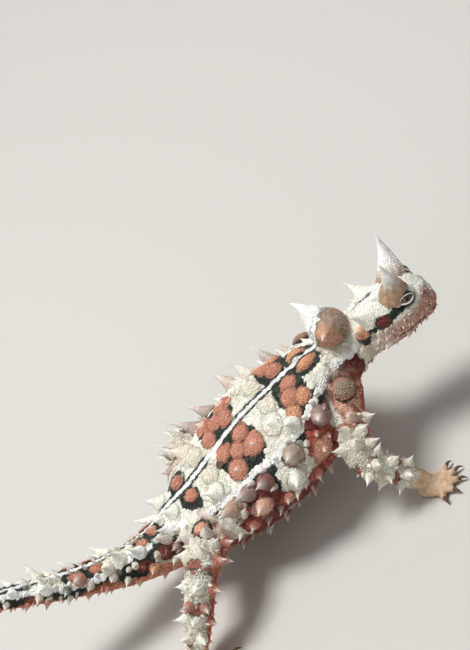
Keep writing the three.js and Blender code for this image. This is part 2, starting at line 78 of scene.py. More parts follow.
# Limbs: radius along them, and the foot's palm, reach and toe length, then root, joint and end, and heading
foreLimb = {"radii": [6.2, 4.5, 4.0, 3.8, 2.9], "palm": [5.2, 3.9, 1.7], "reach": 5.2, "toe": 6.4}
hindLimb = {"radii": [7.2, 5.4, 4.3, 3.9, 3.0], "palm": [5.8, 3.9, 1.7], "reach": 5.6, "toe": 6.8}
limbs = {
    "right_fore": {
        **foreLimb, "points": [[25.5, -8, 27.5], [19.0, -23.5, 18.6], [27.2, -27.4, 5.0]], "heading": -32,
    },
    "left_fore": {
        **foreLimb, "points": [[25.5, 8, 27.5], [17.0, 23.0, 17.2], [25.0, 28.0, 5.0]], "heading": 26,
    },
    "right_hind": {
        **hindLimb, "points": [[-21, -7, 16.5], [-30.5, -23.5, 19.4], [-43.5, -30.2, 5.2]], "heading": -62,
    },
    "left_hind": {
        **hindLimb, "points": [[-21, 7, 16.5], [-13.5, 25.5, 16.6], [-22.5, 31.0, 5.2]], "heading": 38,
    },
}
toeSpread = 30  # degrees between toes


# Rotation of the head: roll, then pitch, then yaw, as one matrix
def headRotation():
    yaw, pitch, roll = np.radians([head["yaw"], -head["pitch"], head["roll"]])
    c, s = np.cos, np.sin
    aboutZ = np.array([[c(yaw), -s(yaw), 0], [s(yaw), c(yaw), 0], [0, 0, 1]])
    aboutY = np.array([[c(pitch), 0, s(pitch)], [0, 1, 0], [-s(pitch), 0, c(pitch)]])
    aboutX = np.array([[1, 0, 0], [0, c(roll), -s(roll)], [0, s(roll), c(roll)]])
    return aboutZ @ aboutY @ aboutX


headSpin = headRotation()
headPivot = np.array(head["pivot"], float)


# A point of the straight head, turned: pivot + rotation times its offset from the pivot
def turnHead(points):
    return headPivot + (points - headPivot) @ headSpin.T


# The way back: the offset from the pivot times the inverse rotation, which is the transposed matrix
def straightenHead(points):
    return headPivot + (points - headPivot) @ headSpin


# Catmull-Rom value of every column of a table at each t
def rowsAt(rows, t):
    table = np.asarray(rows, float)
    last = len(table) - 1
    i = np.clip(np.floor(t).astype(int), 0, last - 1)
    s = (t - i)[:, None]
    a, b, c, d = (table[np.clip(i + k, 0, last)] for k in (-1, 0, 1, 2))
    return 0.5 * (
        2 * b + (c - a) * s + (2 * a - 5 * b + 4 * c - d) * s ** 2 + (3 * b - a - 3 * c + d) * s ** 3
    )


# A vector over its own length
def unit(v):
    return v / np.maximum(np.linalg.norm(v, axis=-1, keepdims=True), 1e-9)


# Equal angles round a circle: k * 2 pi / sides
def turns(sides):
    return np.arange(sides) * 2 * np.pi / sides


# Centre, directions along, left and up, half width and half depth of a section at each t
def sectionAt(rows, t):
    def centre(u):
        r = rowsAt(rows, u)
        return np.stack([r[:, 0], r[:, 1], r[:, 2] - r[:, 4] / 2], -1)
    r = rowsAt(rows, t)
    along = unit(centre(t + 0.01) - centre(t - 0.01))
    left = unit(np.cross([0.0, 0.0, 1.0], along))
    return centre(t), along, left, np.cross(along, left), r[:, 3], r[:, 4] / 2


# Stations of a limb, 0 at the root, 2 at the joint, 4 at the end: centre and radius. Then its axis of bend
def limbRows(limb):
    root, joint, end = np.array(limb["points"], float)
    line = np.array([root, (root + joint) / 2, joint, (joint + end) / 2, end])
    return np.column_stack([line, limb["radii"]]), unit(np.cross(joint - root, end - joint))


# Centre, directions along, across and outward, and radius of a limb at each t
def limbSection(limb, t):
    rows, axis = limbRows(limb)
    here = rowsAt(rows, t)
    along = unit(rowsAt(rows, t + 0.01)[:, :3] - rowsAt(rows, t - 0.01)[:, :3])
    return here[:, :3], along, np.broadcast_to(axis, along.shape), unit(np.cross(along, axis)), here[:, 3]


# A boxy power of a sine or cosine, which keeps its sign
def boxy(v):
    return np.sign(v) * np.abs(v) ** trunk["boxiness"]


# Point of a surface at t and phi: centre + left * half width * sine + up * half depth * cosine
def pointOn(surface, t, phi, lift=0.0):
    t, phi = np.broadcast_arrays(np.asarray(t, float), np.asarray(phi, float))
    if surface in limbs:
        centre, _, axis, out, radius = limbSection(limbs[surface], t)
        r = (radius + lift)[:, None]
        return centre + axis * r * np.sin(phi)[:, None] + out * r * np.cos(phi)[:, None]
    rows = trunk["rows"] if surface == "trunk" else head["rows"]
    centre, _, left, up, half, deep = sectionAt(rows, t)
    across = left * ((half + lift) * boxy(np.sin(phi)))[:, None]
    over = up * ((deep + lift) * boxy(np.cos(phi)))[:, None]
    p = centre + across + over
    return turnHead(p) if surface == "head" else p


# Outward normal: the cross product of two short steps on the surface
def normalOn(surface, t, phi):
    step = 0.02
    along = pointOn(surface, t + step, phi) - pointOn(surface, t - step, phi)
    around = pointOn(surface, t, phi + step) - pointOn(surface, t, phi - step)
    through = pointOn(surface, t, phi + np.pi) - pointOn(surface, t, phi)
    n = unit(np.cross(along, around))
    return n * -np.sign((n * through).sum(-1, keepdims=True))


# The frame's origin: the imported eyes' middle less the place of the same middle in the animal's own frame
eyeBoxes = [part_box("eye_" + side) for side in sideOf]
packedEyes = sum((np.array(lo) + np.array(hi)) / 4 for lo, hi in eyeBoxes) / mm
ownEyes = turnHead(np.array([[head["eye"][0], 0, head["eye"][2]]]))[0]
origin = packedEyes - ownEyes
print("origin of the stance in the frame, mm:", origin.round(2))


# A mesh object in metres from vertices in mm and blocks of triangles or quads
def makePiece(name, vertices, faceBlocks, smooth=True):
    mesh = bpy.data.meshes.new(name)
    counts = np.concatenate([np.full(len(f), f.shape[1]) for f in faceBlocks])
    corners = np.concatenate([np.asarray(f).ravel() for f in faceBlocks]).astype(np.int32)
    mesh.vertices.add(len(vertices))
    mesh.vertices.foreach_set("co", ((vertices + origin) * mm).astype(np.float32).ravel())
    mesh.loops.add(len(corners))
    mesh.loops.foreach_set("vertex_index", corners)
    mesh.polygons.add(len(counts))
    mesh.polygons.foreach_set("loop_start", np.concatenate([[0], np.cumsum(counts)[:-1]]).astype(np.int32))
    mesh.polygons.foreach_set("loop_total", counts.astype(np.int32))
    mesh.polygons.foreach_set("use_smooth", np.full(len(counts), smooth))
    mesh.update(calc_edges=True)
    mesh.validate()
    piece = bpy.data.objects.new(name, mesh)
    bpy.context.scene.collection.objects.link(piece)
    return piece


# Faces of a closed tube of rings, with a fan to a middle point at each end
def tubeFaces(rings, sides):
    k = np.arange(rings * sides - sides)
    turned = k - k % sides + (k + 1) % sides
    quads = np.stack([k, turned, turned + sides, k + sides], -1)
    s = np.arange(sides)
    n = (s + 1) % sides
    first, last = rings * sides, rings * sides + 1
    top = (rings - 1) * sides
    fans = np.concatenate([
        np.stack([n, s, np.full(sides, first)], -1),
        np.stack([s + top, n + top, np.full(sides, last)], -1),
    ])
    return quads, fans


# Vertices of a closed tube: a grid of rings, then the middle of its first and last ring
def closeTube(grid):
    rings, sides, _ = grid.shape
    ends = np.stack([grid[0].mean(0), grid[-1].mean(0)])
    return np.concatenate([grid.reshape(-1, 3), ends]), *tubeFaces(rings, sides)


# A surface of the animal as a closed tube from t0 to t1, sunk by an inset
def surfaceTube(surface, t0, t1, rings, sides, inset):
    t, phi = np.meshgrid(np.linspace(t0, t1, rings), turns(sides), indexing="ij")
    grid = pointOn(surface, t.ravel(), phi.ravel(), -inset).reshape(rings, sides, 3)
    return closeTube(grid)


# A round tube along a line: centre + radius * (across * cosine + over * sine)
def sweptTube(line, radii, sides=16):
    line = np.asarray(line, float)
    along = unit(np.gradient(line, axis=0))
    across = unit(np.cross(along, [0.13, 0.29, 0.95]))
    over = np.cross(along, across)
    a = turns(sides)[:, None]
    r = np.asarray(radii, float)[:, None, None]
    grid = line[:, None] + r * (across[:, None] * np.cos(a) + over[:, None] * np.sin(a))
    return closeTube(grid)


# An egg: centre + half sizes * (sine * cosine, sine * sine, cosine), turned about z by a heading
def eggShape(centre, half, heading=0.0, rings=18, sides=28, pole=0.06):
    v, u = np.meshgrid(np.linspace(pole, np.pi - pole, rings), turns(sides), indexing="ij")
    ball = np.stack([np.sin(v) * np.cos(u), np.sin(v) * np.sin(u), np.cos(v)], -1) * half
    c, s = np.cos(heading), np.sin(heading)
    ball = ball @ np.array([[c, -s, 0], [s, c, 0], [0, 0, 1]]).T
    return closeTube(ball + centre)


# Several shapes as one set of vertices and face blocks
def joinShapes(shapes):
    vertices, quads, fans, start = [], [], [], 0
    for v, q, f in shapes:
        vertices.append(v)
        quads.append(q + start)
        fans.append(f + start)
        start += len(v)
    return np.concatenate(vertices), [np.concatenate(quads), np.concatenate(fans)]


# The foot of a limb: wrist, heading in radians, palm centre, and each toe's start, direction and length
def footOf(limb):
    wrist = np.array(limb["points"][2], float)
    facing = np.radians(limb["heading"])
    ahead = np.array([np.cos(facing), np.sin(facing), 0])
    palm = wrist + ahead * limb["reach"] * 0.62
    palm[2] = limb["palm"][2] * 0.86
    toes = []
    for k in range(-2, 3):
        angle = facing + np.radians(k * toeSpread)
        way = np.array([np.cos(angle), np.sin(angle), 0])
        length = limb["toe"] * (1 - 0.08 * abs(k))
        start = palm + way * limb["palm"][1] * 0.55
        start[2] = 1.3
        toes.append((start, way, length))
    return wrist, facing, palm, toes


# A smooth step from 0 to 1 between two values: 3 s squared - 2 s cubed
def ramp(v, low, high):
    s = np.clip((v - low) / (high - low), 0, 1)
    return s * s * (3 - 2 * s)


markRoll = {"degrees": 32, "from": 16, "full": 38, "eases": 45, "least": 56, "easedBy": 0.7}


# Roll of the markings about the tail, in radians: its spine line lies towards the left side
def tailRoll(x):
    eased = 1 - markRoll["easedBy"] * ramp(-x, markRoll["eases"], markRoll["least"])
    return np.radians(markRoll["degrees"]) * ramp(-x, markRoll["from"], markRoll["full"]) * eased


# Thorns of the trunk, as rows: angle from the back line, length, root radius, spacing
thornRows = {
    "torso": {"from": 7.2, "to": 13.75, "rows": [[124, 2.2, 1.2, 5.6]]},
    "neck": {"from": 13.75, "to": 15.4, "rows": [[60, 3.2, 1.5, 5.4], [98, 3.2, 1.5, 5.4]]},
    "tailBase": {"from": 4.9, "to": 7.2, "rows": [
        [60, 5.0, 2.0, 5.8], [26, 2.0, 0.9, 4.6], [90, 2.4, 1.1, 5.0],
        [120, 2.3, 1.0, 4.4], [150, 2.0, 1.0, 4.4],
    ]},
    "tailMiddle": {"from": 2.6, "to": 4.9, "rows": [
        [56, 4.6, 1.8, 5.6], [26, 2.2, 0.9, 4.6], [90, 2.6, 1.2, 5.2], [128, 2.2, 1.0, 4.2],
    ]},
    "tailTip": {"from": 0.2, "to": 2.6, "rows": [[42, 3.2, 1.3, 5.2], [98, 2.4, 1.0, 4.2]]},
}
# Spines too small for the frame, set between the rows of thorns
spineRows = {
    "torso": {"from": 7.2, "to": 13.75, "rows": [
        [54, 2.4, 0.95, 3.5], [74, 2.6, 1.0, 3.5], [94, 2.4, 0.95, 3.5], [113, 1.7, 0.75, 3.4],
        [135, 1.2, 0.6, 3.4], [150, 0.9, 0.55, 3.6], [168, 0.8, 0.5, 3.8],
    ]},
    "neck": {"from": 13.75, "to": 15.7, "rows": [
        [40, 1.2, 0.7, 2.8], [78, 1.6, 0.8, 2.8], [118, 1.2, 0.6, 2.8], [145, 0.8, 0.5, 2.8],
    ]},
    "tailBase": {"from": 4.9, "to": 7.2, "rows": [
        [16, 1.6, 0.7, 2.9], [55, 1.9, 0.8, 2.9], [96, 1.8, 0.8, 2.9], [135, 1.2, 0.6, 2.9],
    ]},
    "tailMiddle": {"from": 2.6, "to": 4.9, "rows": [
        [14, 1.5, 0.6, 2.8], [60, 1.7, 0.7, 2.8], [108, 1.5, 0.6, 2.8], [158, 1.0, 0.5, 2.8],
    ]},
    "tailTip": {"from": 0.2, "to": 2.6, "rows": [
        [68, 1.4, 0.55, 2.6], [130, 1.2, 0.5, 2.6], [165, 0.9, 0.45, 2.6],
    ]},
}
thornLean = 0.42  # how far thorns tip towards the tail
farSide = {"shift": 0.9, "thorns": 1.35, "pale": 0.45}  # marks further ahead in mm, longer and paler thorns
limbThorns = {"length": 3.3, "radius": 1.45, "spacing": 4.8, "perRing": 6, "facing": 0.05, "lowest": 4.2}
limbSpines = {"length": 1.1, "radius": 0.65, "spacing": 3.0, "perRing": 8, "facing": -0.3, "lowest": 2.6}
limbStretches = [(0.8, 1.95, 1.15), (2.05, 3.75, 1.0)]  # above and below the joint: from, to, size of thorns
# Single thorns of one side of the head: place, direction, length, root radius
headThorns = [
    ([43.3, 6.0, 38.0], [-0.5, 0.6, 0.85], 6.6, 2.8), ([40.6, 6.9, 36.2], [-0.75, 0.75, 0.45], 3.6, 1.5),
    ([46.6, 8.2, 33.8], [-0.2, 1, 0.1], 2.2, 1.1), ([44.6, 7.6, 29.4], [-0.4, 1, -0.25], 3.0, 1.3),
    ([58.0, 2.6, 36.6], [0.5, 0.35, 1], 2.0, 1.2), ([56.8, 0.9, 38.6], [0.3, 0.1, 1], 1.6, 0.9),
]
crownThorns = [([47.6, 0, 40.8], [-0.3, 0, 1], 1.5, 1.1), ([42.2, 0, 39.4], [-0.4, 0, 1], 1.5, 1.1)]


# Nearest place on the trunk of each point: t, angle, x along the body, and height above the surface in mm
def trunkPlace(points):
    t = np.linspace(0, trunk["end"] + 0.6, 340)
    centre, along, left, up, half, deep = sectionAt(trunk["rows"], t)
    near = ((points[:, None] - centre[None]) ** 2).sum(-1).argmin(1)
    v = points - centre[near]
    x = centre[near, 0] + (v * along[near]).sum(-1) * along[near, 0]
    side = (v * left[near]).sum(-1) / half[near]
    rise = (v * up[near]).sum(-1) / deep[near]
    height = (np.hypot(side, rise) - 1) * np.minimum(half, deep)[near]
    return t[near], np.arctan2(side, rise), x, height


# The same on the straight head, whose sections stand nearly upright
def headPlace(points):
    p = straightenHead(points)
    t = np.linspace(0, len(head["rows"]) - 1, 200)
    r = rowsAt(head["rows"], t)
    order = np.argsort(r[:, 0])
    sample = [np.interp(p[:, 0], r[order, 0], r[order, k]) for k in (2, 3, 4)]
    top, half, depth = sample
    side = p[:, 1] / half
    rise = (p[:, 2] - top + depth / 2) / (depth / 2)
    height = (np.hypot(side, rise) - 1) * np.minimum(half, depth / 2)
    beyond = np.maximum(p[:, 0] - head["rows"][-1][0], 0)
    behind = np.maximum(head["pivot"][0] - p[:, 0], 0) * 3
    return p, np.interp(p[:, 0], r[order, 0], t[order]), np.arctan2(side, rise), height + beyond + behind


# The same on a limb
def limbPlace(name, points):
    t = np.linspace(0, 4, 90)
    centre, _, axis, out, radius = limbSection(limbs[name], t)
    d = ((points[:, None] - centre[None]) ** 2).sum(-1)
    near = d.argmin(1)
    v = points - centre[near]
    angle = np.arctan2((v * axis[near]).sum(-1), (v * out[near]).sum(-1))
    palm = footOf(limbs[name])[2]
    foot = np.linalg.norm((points - palm) * [1, 1, 1.6], axis=-1) - limbs[name]["palm"][0] * 1.5
    height = np.sqrt(d.min(1)) - radius[near]
    t = np.where(foot < height, 4.0, t[near])
    return t, angle, np.minimum(height, foot)


# The markings

# Colours as seen, from 0 to 255
tones = {
    "cream": (244, 241, 226), "saddle": (233, 228, 208), "white": (252, 251, 246), "dark": (36, 46, 40),
    "russet": (206, 142, 118), "orange": (222, 162, 126), "brown": (168, 146, 124), "maroon": (116, 54, 48),
    "brick": (180, 96, 78), "pink": (226, 172, 146), "belly": (158, 92, 62), "tan": (226, 184, 142),
    "grey": (184, 182, 170), "lip": (172, 108, 92), "limb": (222, 215, 196), "limbUnder": (188, 100, 76),
}
# Dark and red grounds of one side of the trunk: x, angle from the back line, half length, half height, tone
grounds = [
    (25.6, 12, 3.3, 3.2, "dark"), (18.4, 29, 4.3, 7.6, "dark"), (-1.6, 24, 6.4, 6.6, "dark"),
    (-20.0, 18, 3.1, 3.6, "dark"), (-37.0, 31, 5.6, 2.9, "dark"), (-56.4, 38, 5.0, 2.4, "dark"),
    (-74.0, 34, 4.2, 2.0, "dark"), (-87.0, 40, 3.0, 1.6, "dark"), (22.8, 64, 1.5, 3.0, "dark"),
    (31.0, 70, 2.4, 2.2, "dark"), (12.0, 72, 2.0, 6.2, "dark"), (0.4, 55, 2.2, 2.4, "dark"),
    (-4.6, 62, 5.6, 5.0, "dark"), (-24.0, 66, 3.4, 3.4, "dark"), (-34.0, 80, 4.4, 3.2, "dark"),
    (-34.6, 92, 3.6, 2.6, "maroon"), (-41.4, 86, 2.6, 2.4, "dark"), (-45.0, 104, 3.8, 3.0, "dark"),
    (-42.6, 98, 1.9, 1.6, "maroon"), (-60.5, 102, 3.8, 2.2, "dark"), (-73.0, 84, 3.2, 2.0, "dark"),
    (32.0, 88, 2.6, 3.8, "maroon"), (18.0, 71, 3.8, 3.0, "maroon"), (14.0, 102, 4.6, 9.6, "brick"),
    (-4.6, 62, 3.8, 4.0, "maroon"), (-8.0, 92, 7.4, 6.0, "maroon"), (-12.6, 57, 2.7, 2.6, "brown"),
]
# Bosses of one side of the trunk: x, angle from the back line, radius, height, length of its thorn, tone
bosses = [
    (25.8, 11, 2.4, 1.1, 0, "orange"), (19.7, 16, 2.4, 0.9, 0, "russet"),
    (17.6, 29, 2.7, 1.0, 0, "russet"), (20.0, 40, 2.2, 0.8, 0, "orange"),
    (15.4, 42, 2.4, 0.7, 0, "orange"), (1.4, 12, 2.5, 1.0, 0, "russet"),
    (2.2, 29, 3.0, 1.1, 1.4, "russet"), (-5.4, 12, 2.5, 1.0, 0, "russet"),
    (-1.8, 21, 2.4, 0.8, 0, "russet"), (-4.9, 33, 2.9, 1.1, 1.4, "russet"),
    (11.4, 15, 3.0, 0.8, 0, "saddle"), (8.8, 31, 3.2, 0.9, 2.6, "cream"),
    (12.4, 47, 2.5, 0.8, 5.0, "cream"), (-11.6, 15, 2.8, 0.8, 0, "saddle"),
    (-13.4, 33, 3.1, 0.9, 4.6, "cream"), (-19.4, 15, 2.1, 0.9, 0, "russet"),
    (-27.0, 22, 2.5, 0.7, 4.0, "cream"), (-35.8, 24, 1.8, 0.8, 0, "russet"),
    (-40.3, 40, 1.8, 0.8, 0, "russet"), (-47.5, 46, 2.3, 0.6, 5.0, "cream"),
    (-53.4, 34, 1.6, 0.6, 0, "russet"), (-58.4, 42, 1.5, 0.6, 0, "russet"),
    (-73.0, 34, 1.3, 0.5, 0, "russet"), (-65.4, 30, 1.8, 0.5, 4.4, "cream"),
    (25.6, 52, 2.2, 0.7, 5.4, "cream"), (31.8, 90, 2.2, 0.9, 1.8, "maroon"),
    (18.4, 70, 2.9, 1.1, 5.8, "maroon"), (12.8, 90, 3.3, 1.3, 1.6, "pink"),
    (13.4, 112, 2.6, 0.9, 1.8, "brick"), (17.4, 102, 2.3, 0.9, 1.8, "brick"),
    (6.8, 65, 3.0, 1.1, 6.8, "brown"), (3.4, 84, 3.3, 1.0, 4.4, "cream"),
    (7.2, 104, 2.6, 0.8, 2.0, "brick"), (-2.4, 61, 2.5, 1.0, 5.6, "maroon"),
    (-7.4, 56, 2.4, 1.0, 6.6, "maroon"), (-7.4, 77, 3.2, 1.2, 3.4, "pink"),
    (-1.8, 92, 2.3, 0.8, 2.0, "brick"), (-12.4, 90, 2.5, 0.9, 2.2, "brick"),
    (-13.4, 58, 2.2, 1.0, 6.6, "brown"), (-19.4, 48, 2.6, 0.8, 6.6, "cream"),
    (-24.4, 65, 2.1, 1.0, 5.6, "pink"), (-20.6, 82, 2.6, 0.9, 3.4, "cream"),
    (-31.6, 48, 2.1, 0.6, 5.0, "cream"), (-36.5, 90, 2.2, 0.9, 0, "maroon"),
    (-43.0, 99, 1.6, 0.6, 0, "maroon"), (-40.2, 116, 1.7, 0.7, 0, "orange"),
]
# Half widths of the white lines and of their dark edge, then the course of the side line: x, angle
lines = {"spine": 0.62, "side": 0.8, "edge": 0.95}
sideLine = [
    [-95, 45], [-76, 48], [-68, 58], [-61, 72], [-52, 70], [-47, 66], [-41, 62], [-34, 50],
    [-28, 47], [-22, 44], [-10, 46], [-2, 46], [3, 52], [10, 55], [24, 56], [36, 60],
]


# A colour as seen, from 0 to 255, as linear light: ((c + 0.055) / 1.055) to the power 2.4
def toLinear(colour):
    c = np.asarray(colour, float) / 255
    return np.where(c <= 0.04045, c / 12.92, ((c + 0.055) / 1.055) ** 2.4)


tone = {name: toLinear(c) for name, c in tones.items()}


# base + (colour - base) * share
def mix(base, colour, share):
    return base + (colour - base) * np.asarray(share)[..., None]


# Rolling noise about 0: sines of sums of the coordinates at a wavelength in mm
def rolling(points, wavelength, phase=0.0):
    x, y, z = (points * 2 * np.pi / wavelength).T
    a = np.sin(x + 1.7 * np.sin(0.7 * y + phase) + phase) * np.cos(0.9 * z + 1.3 * np.sin(0.6 * x))
    b = np.sin(1.3 * y + 1.1 * np.cos(0.8 * z + phase) + 2.1) * np.cos(1.1 * x - 0.5 * z + phase)
    return 0.5 * (a + b)


# Distance in mm from the line along the spine and from the line along the side
def lineRoom(points, phi, x, reach):
    spine = np.abs(phi) * reach + 0.25 * rolling(points, 4.2, 6.0)
    course = np.interp(x, [p[0] for p in sideLine], [p[1] for p in sideLine])
    side = np.radians(np.degrees(np.abs(phi)) - course) * reach + 0.22 * rolling(points, 6.0, 3.3)
    return spine, side


# Colours of the trunk: cream, then dark-edged marks, lower flank, belly, and the white lines over them
def trunkColours(points, t, phi, x):
    section = rowsAt(trunk["rows"], t)
    reach = (section[:, 3] + section[:, 4] / 2) / 2
    phi = phi - tailRoll(x)
    left = phi > 0
    x = x + np.where(left, farSide["shift"], 0.0)
    angle = np.degrees(np.abs(phi))
    wobble = 0.75 * rolling(points, 5.2, 0.4) + 0.45 * rolling(points, 2.3, 1.9)
    colour = mix(tone["cream"], tone["saddle"], ramp(rolling(points, 17, 2.0) + 0.2, 0, 0.6) * 0.8)
    colour = mix(colour, tone["grey"], ramp(rolling(points, 9, 4.0), 0.45, 0.8) * 0.35)
    low = angle + 5 * rolling(points, 11, 3.1)
    blotches = ramp(rolling(points * [1, 0.3, 0.3], 13, 0.7) + 0.3, 0.0, 0.3)
    rust = ramp(low, 70, 84) * (1 - ramp(x, -38, -33)) * blotches
    colour = mix(colour, tone["belly"], rust)
    blotches = ramp(rolling(points * [1, 0.3, 0.3], 21, 5.2) + 0.55, 0.0, 0.3)
    flank = ramp(low, 98, 108) * ramp(x, -34, -24) * blotches
    colour = mix(colour, tone["maroon"], flank)
    belly = ramp(low, 121, 130)
    patch = ramp(rolling(points, 15, 0.9), 0.1, 0.35)
    ground = tone["belly"] * (1 - patch)[:, None] + tone["saddle"] * 0.8 * patch[:, None]
    colour = mix(colour, ground, belly)
    colour = mix(colour, 0.5 * tone["brick"] + 0.5 * tone["orange"], ramp(low, 112, 122) * ramp(-x, 26, 34))
    for mx, ma, mLong, mHigh, name in grounds:
        du = (x - mx + 0.5 * wobble) / mLong
        dv = np.radians(angle - ma) * reach / mHigh + 0.15 * wobble
        away = ((np.abs(du) ** 2.6 + np.abs(dv) ** 2.6) ** (1 / 2.6) - 1) * min(mLong, mHigh) + 0.22 * wobble
        colour = mix(colour, tone[name], 1 - ramp(away, -0.2, 0.2))
    for bx, ba, radius, *_, name in bosses:
        away = np.hypot(x - bx, np.radians(angle - ba) * reach) - radius + 0.14 * wobble
        pinker = 0.6 * tone[name] + 0.4 * tone["pink"]
        warm = mix(tone[name], pinker, ramp(rolling(points, 3.1, 2.2), 0.1, 0.7))
        warm = mix(warm, 0.62 * tone[name], ramp(away, -0.9, -0.1))
        colour = mix(colour, warm, 1 - ramp(away, -0.2, 0.12))
    spine, side = lineRoom(points, phi, x, reach)
    broken = ramp(rolling(points * [1, 0, 0], 26, 2.6), 0.35, 0.55)
    border = (1 - ramp(spine, lines["spine"] + 0.55, lines["spine"] + 0.95)) * (1 - broken)
    colour = mix(colour, tone["dark"], border)
    colour = mix(colour, tone["white"], 1 - ramp(spine, lines["spine"] - 0.12, lines["spine"] + 0.12))
    under = (side > 0) & (x < 24)
    side = np.abs(side)
    edge = (1 - ramp(side, lines["side"] + lines["edge"], lines["side"] + lines["edge"] + 0.4)) * under
    colour = mix(colour, tone["dark"], edge * ramp(rolling(points * [1, 0.2, 0.2], 19, 1.3) + 0.25, 0, 0.2))
    return mix(colour, tone["white"], 1 - ramp(side, lines["side"] - 0.1, lines["side"] + 0.2))


# Marks of one side of the straight head: centre, half sizes, tone
headMarks = [
    ([54.4, 6.6, 37.7], [2.9, 3.0, 1.9], "dark"), ([51.6, 7.2, 36.8], [2.3, 3.0, 1.2], "dark"),
    ([49.4, 8.0, 36.3], [1.8, 2.5, 1.1], "dark"), ([46.9, 8.6, 35.9], [2.5, 2.5, 1.7], "dark"),
    ([47.0, 8.6, 36.0], [1.9, 2.5, 1.25], "maroon"), ([43.4, 8.4, 35.3], [1.8, 2.5, 0.6], "dark"),
    ([40.2, 7.2, 33.9], [1.9, 2.5, 2.3], "dark"), ([40.2, 7.2, 35.0], [1.8, 2.5, 1.3], "orange"),
]


# Height of the mouth at x on the straight head: a line that rises a little from the hinge
def mouthAt(x):
    return head["mouthHeight"] + (x - head["mouthHinge"]) * head["mouthTilt"]


# Colours of the head: cream crown and cheek, lip tones on snout and jaw, dark marks, a stripe on the crown,
# and painted shade in the mouth line and the nostrils
def headColours(points, p):
    wobble = 0.6 * rolling(points, 4.0, 0.8) + 0.35 * rolling(points, 1.9, 2.5)
    x, y, z = p[:, 0], np.abs(p[:, 1]), p[:, 2]
    colour = mix(tone["cream"], tone["white"], ramp(z, 38, 41) * 0.8)
    snout = ramp(x + 0.8 * (37 - z) + wobble, 57.6, 60.0) * ramp(38.0 - z, 0, 1.2)
    colour = mix(colour, tone["lip"], snout * 0.85)
    jaw = ramp(35.2 - z + 0.9 * wobble, 0, 1.4) * (0.45 + 0.55 * ramp(x, 44, 48))
    colour = mix(colour, 0.6 * tone["pink"] + 0.4 * tone["lip"], jaw * 0.8)
    grey = ramp(rolling(points, 6.5, 2.7), 0.3, 0.7) * ramp(z, 38, 40)
    colour = mix(colour, tone["grey"], grey * 0.6)
    throat = ramp(28.6 - z + wobble, 0, 1.6)
    colour = mix(colour, tone["belly"], throat * 0.8)
    speck = ramp(rolling(points, 2.4, 5.0), 0.25, 0.55) * np.maximum(snout, jaw)
    colour = mix(colour, tone["cream"] * 0.9, speck * 0.75)
    shade = ramp(rolling(points, 3.3, 0.6), 0.2, 0.5) * np.maximum(snout, jaw)
    colour = mix(colour, tone["maroon"], shade * 0.5)
    # Painted shade: a dark line along the closed mouth
    gape = 1 - ramp(np.abs(z - mouthAt(x)), 0.16, 0.34)
    ahead = ramp(x, head["mouthHinge"] - 1, head["mouthHinge"])
    colour = mix(colour, tone["dark"], gape * ahead * 0.85)
    # Painted shade: a dark pit at each nostril
    pit = np.linalg.norm((np.stack([x, y, z], -1) - head["nostril"]) / [0.75, 1.4, 0.6], axis=-1)
    colour = mix(colour, tone["dark"], 1 - ramp(pit, 0.75, 1.0))
    for centre, half, name in headMarks:
        d = np.linalg.norm((np.stack([x, y, z], -1) - centre) / half, axis=-1) - 1 + 0.25 * wobble
        colour = mix(colour, tone[name], 1 - ramp(d, -0.1, 0.12))
    crown = np.abs(p[:, 1] + 0.6 * wobble)
    stripe = (1 - ramp(crown, 0.35, 0.6)) * ramp(x, 39, 41) * (1 - ramp(x, 46, 47.5)) * ramp(z, 36, 38)
    return mix(colour, tone["dark"], stripe * 0.85)


# Bosses on the roots of the limbs, by their place on the right side, with twins mirrored to the left
rootBosses = [
    {"centre": np.array([26.0, -13.0, 31.1]), "radius": 3.0, "height": 2.0, "tone": "brown", "ring": 0.3},
    {"centre": np.array([-23.9, -13.7, 23.2]), "radius": 2.1, "height": 1.0, "tone": "pink", "ring": 0.9},
]


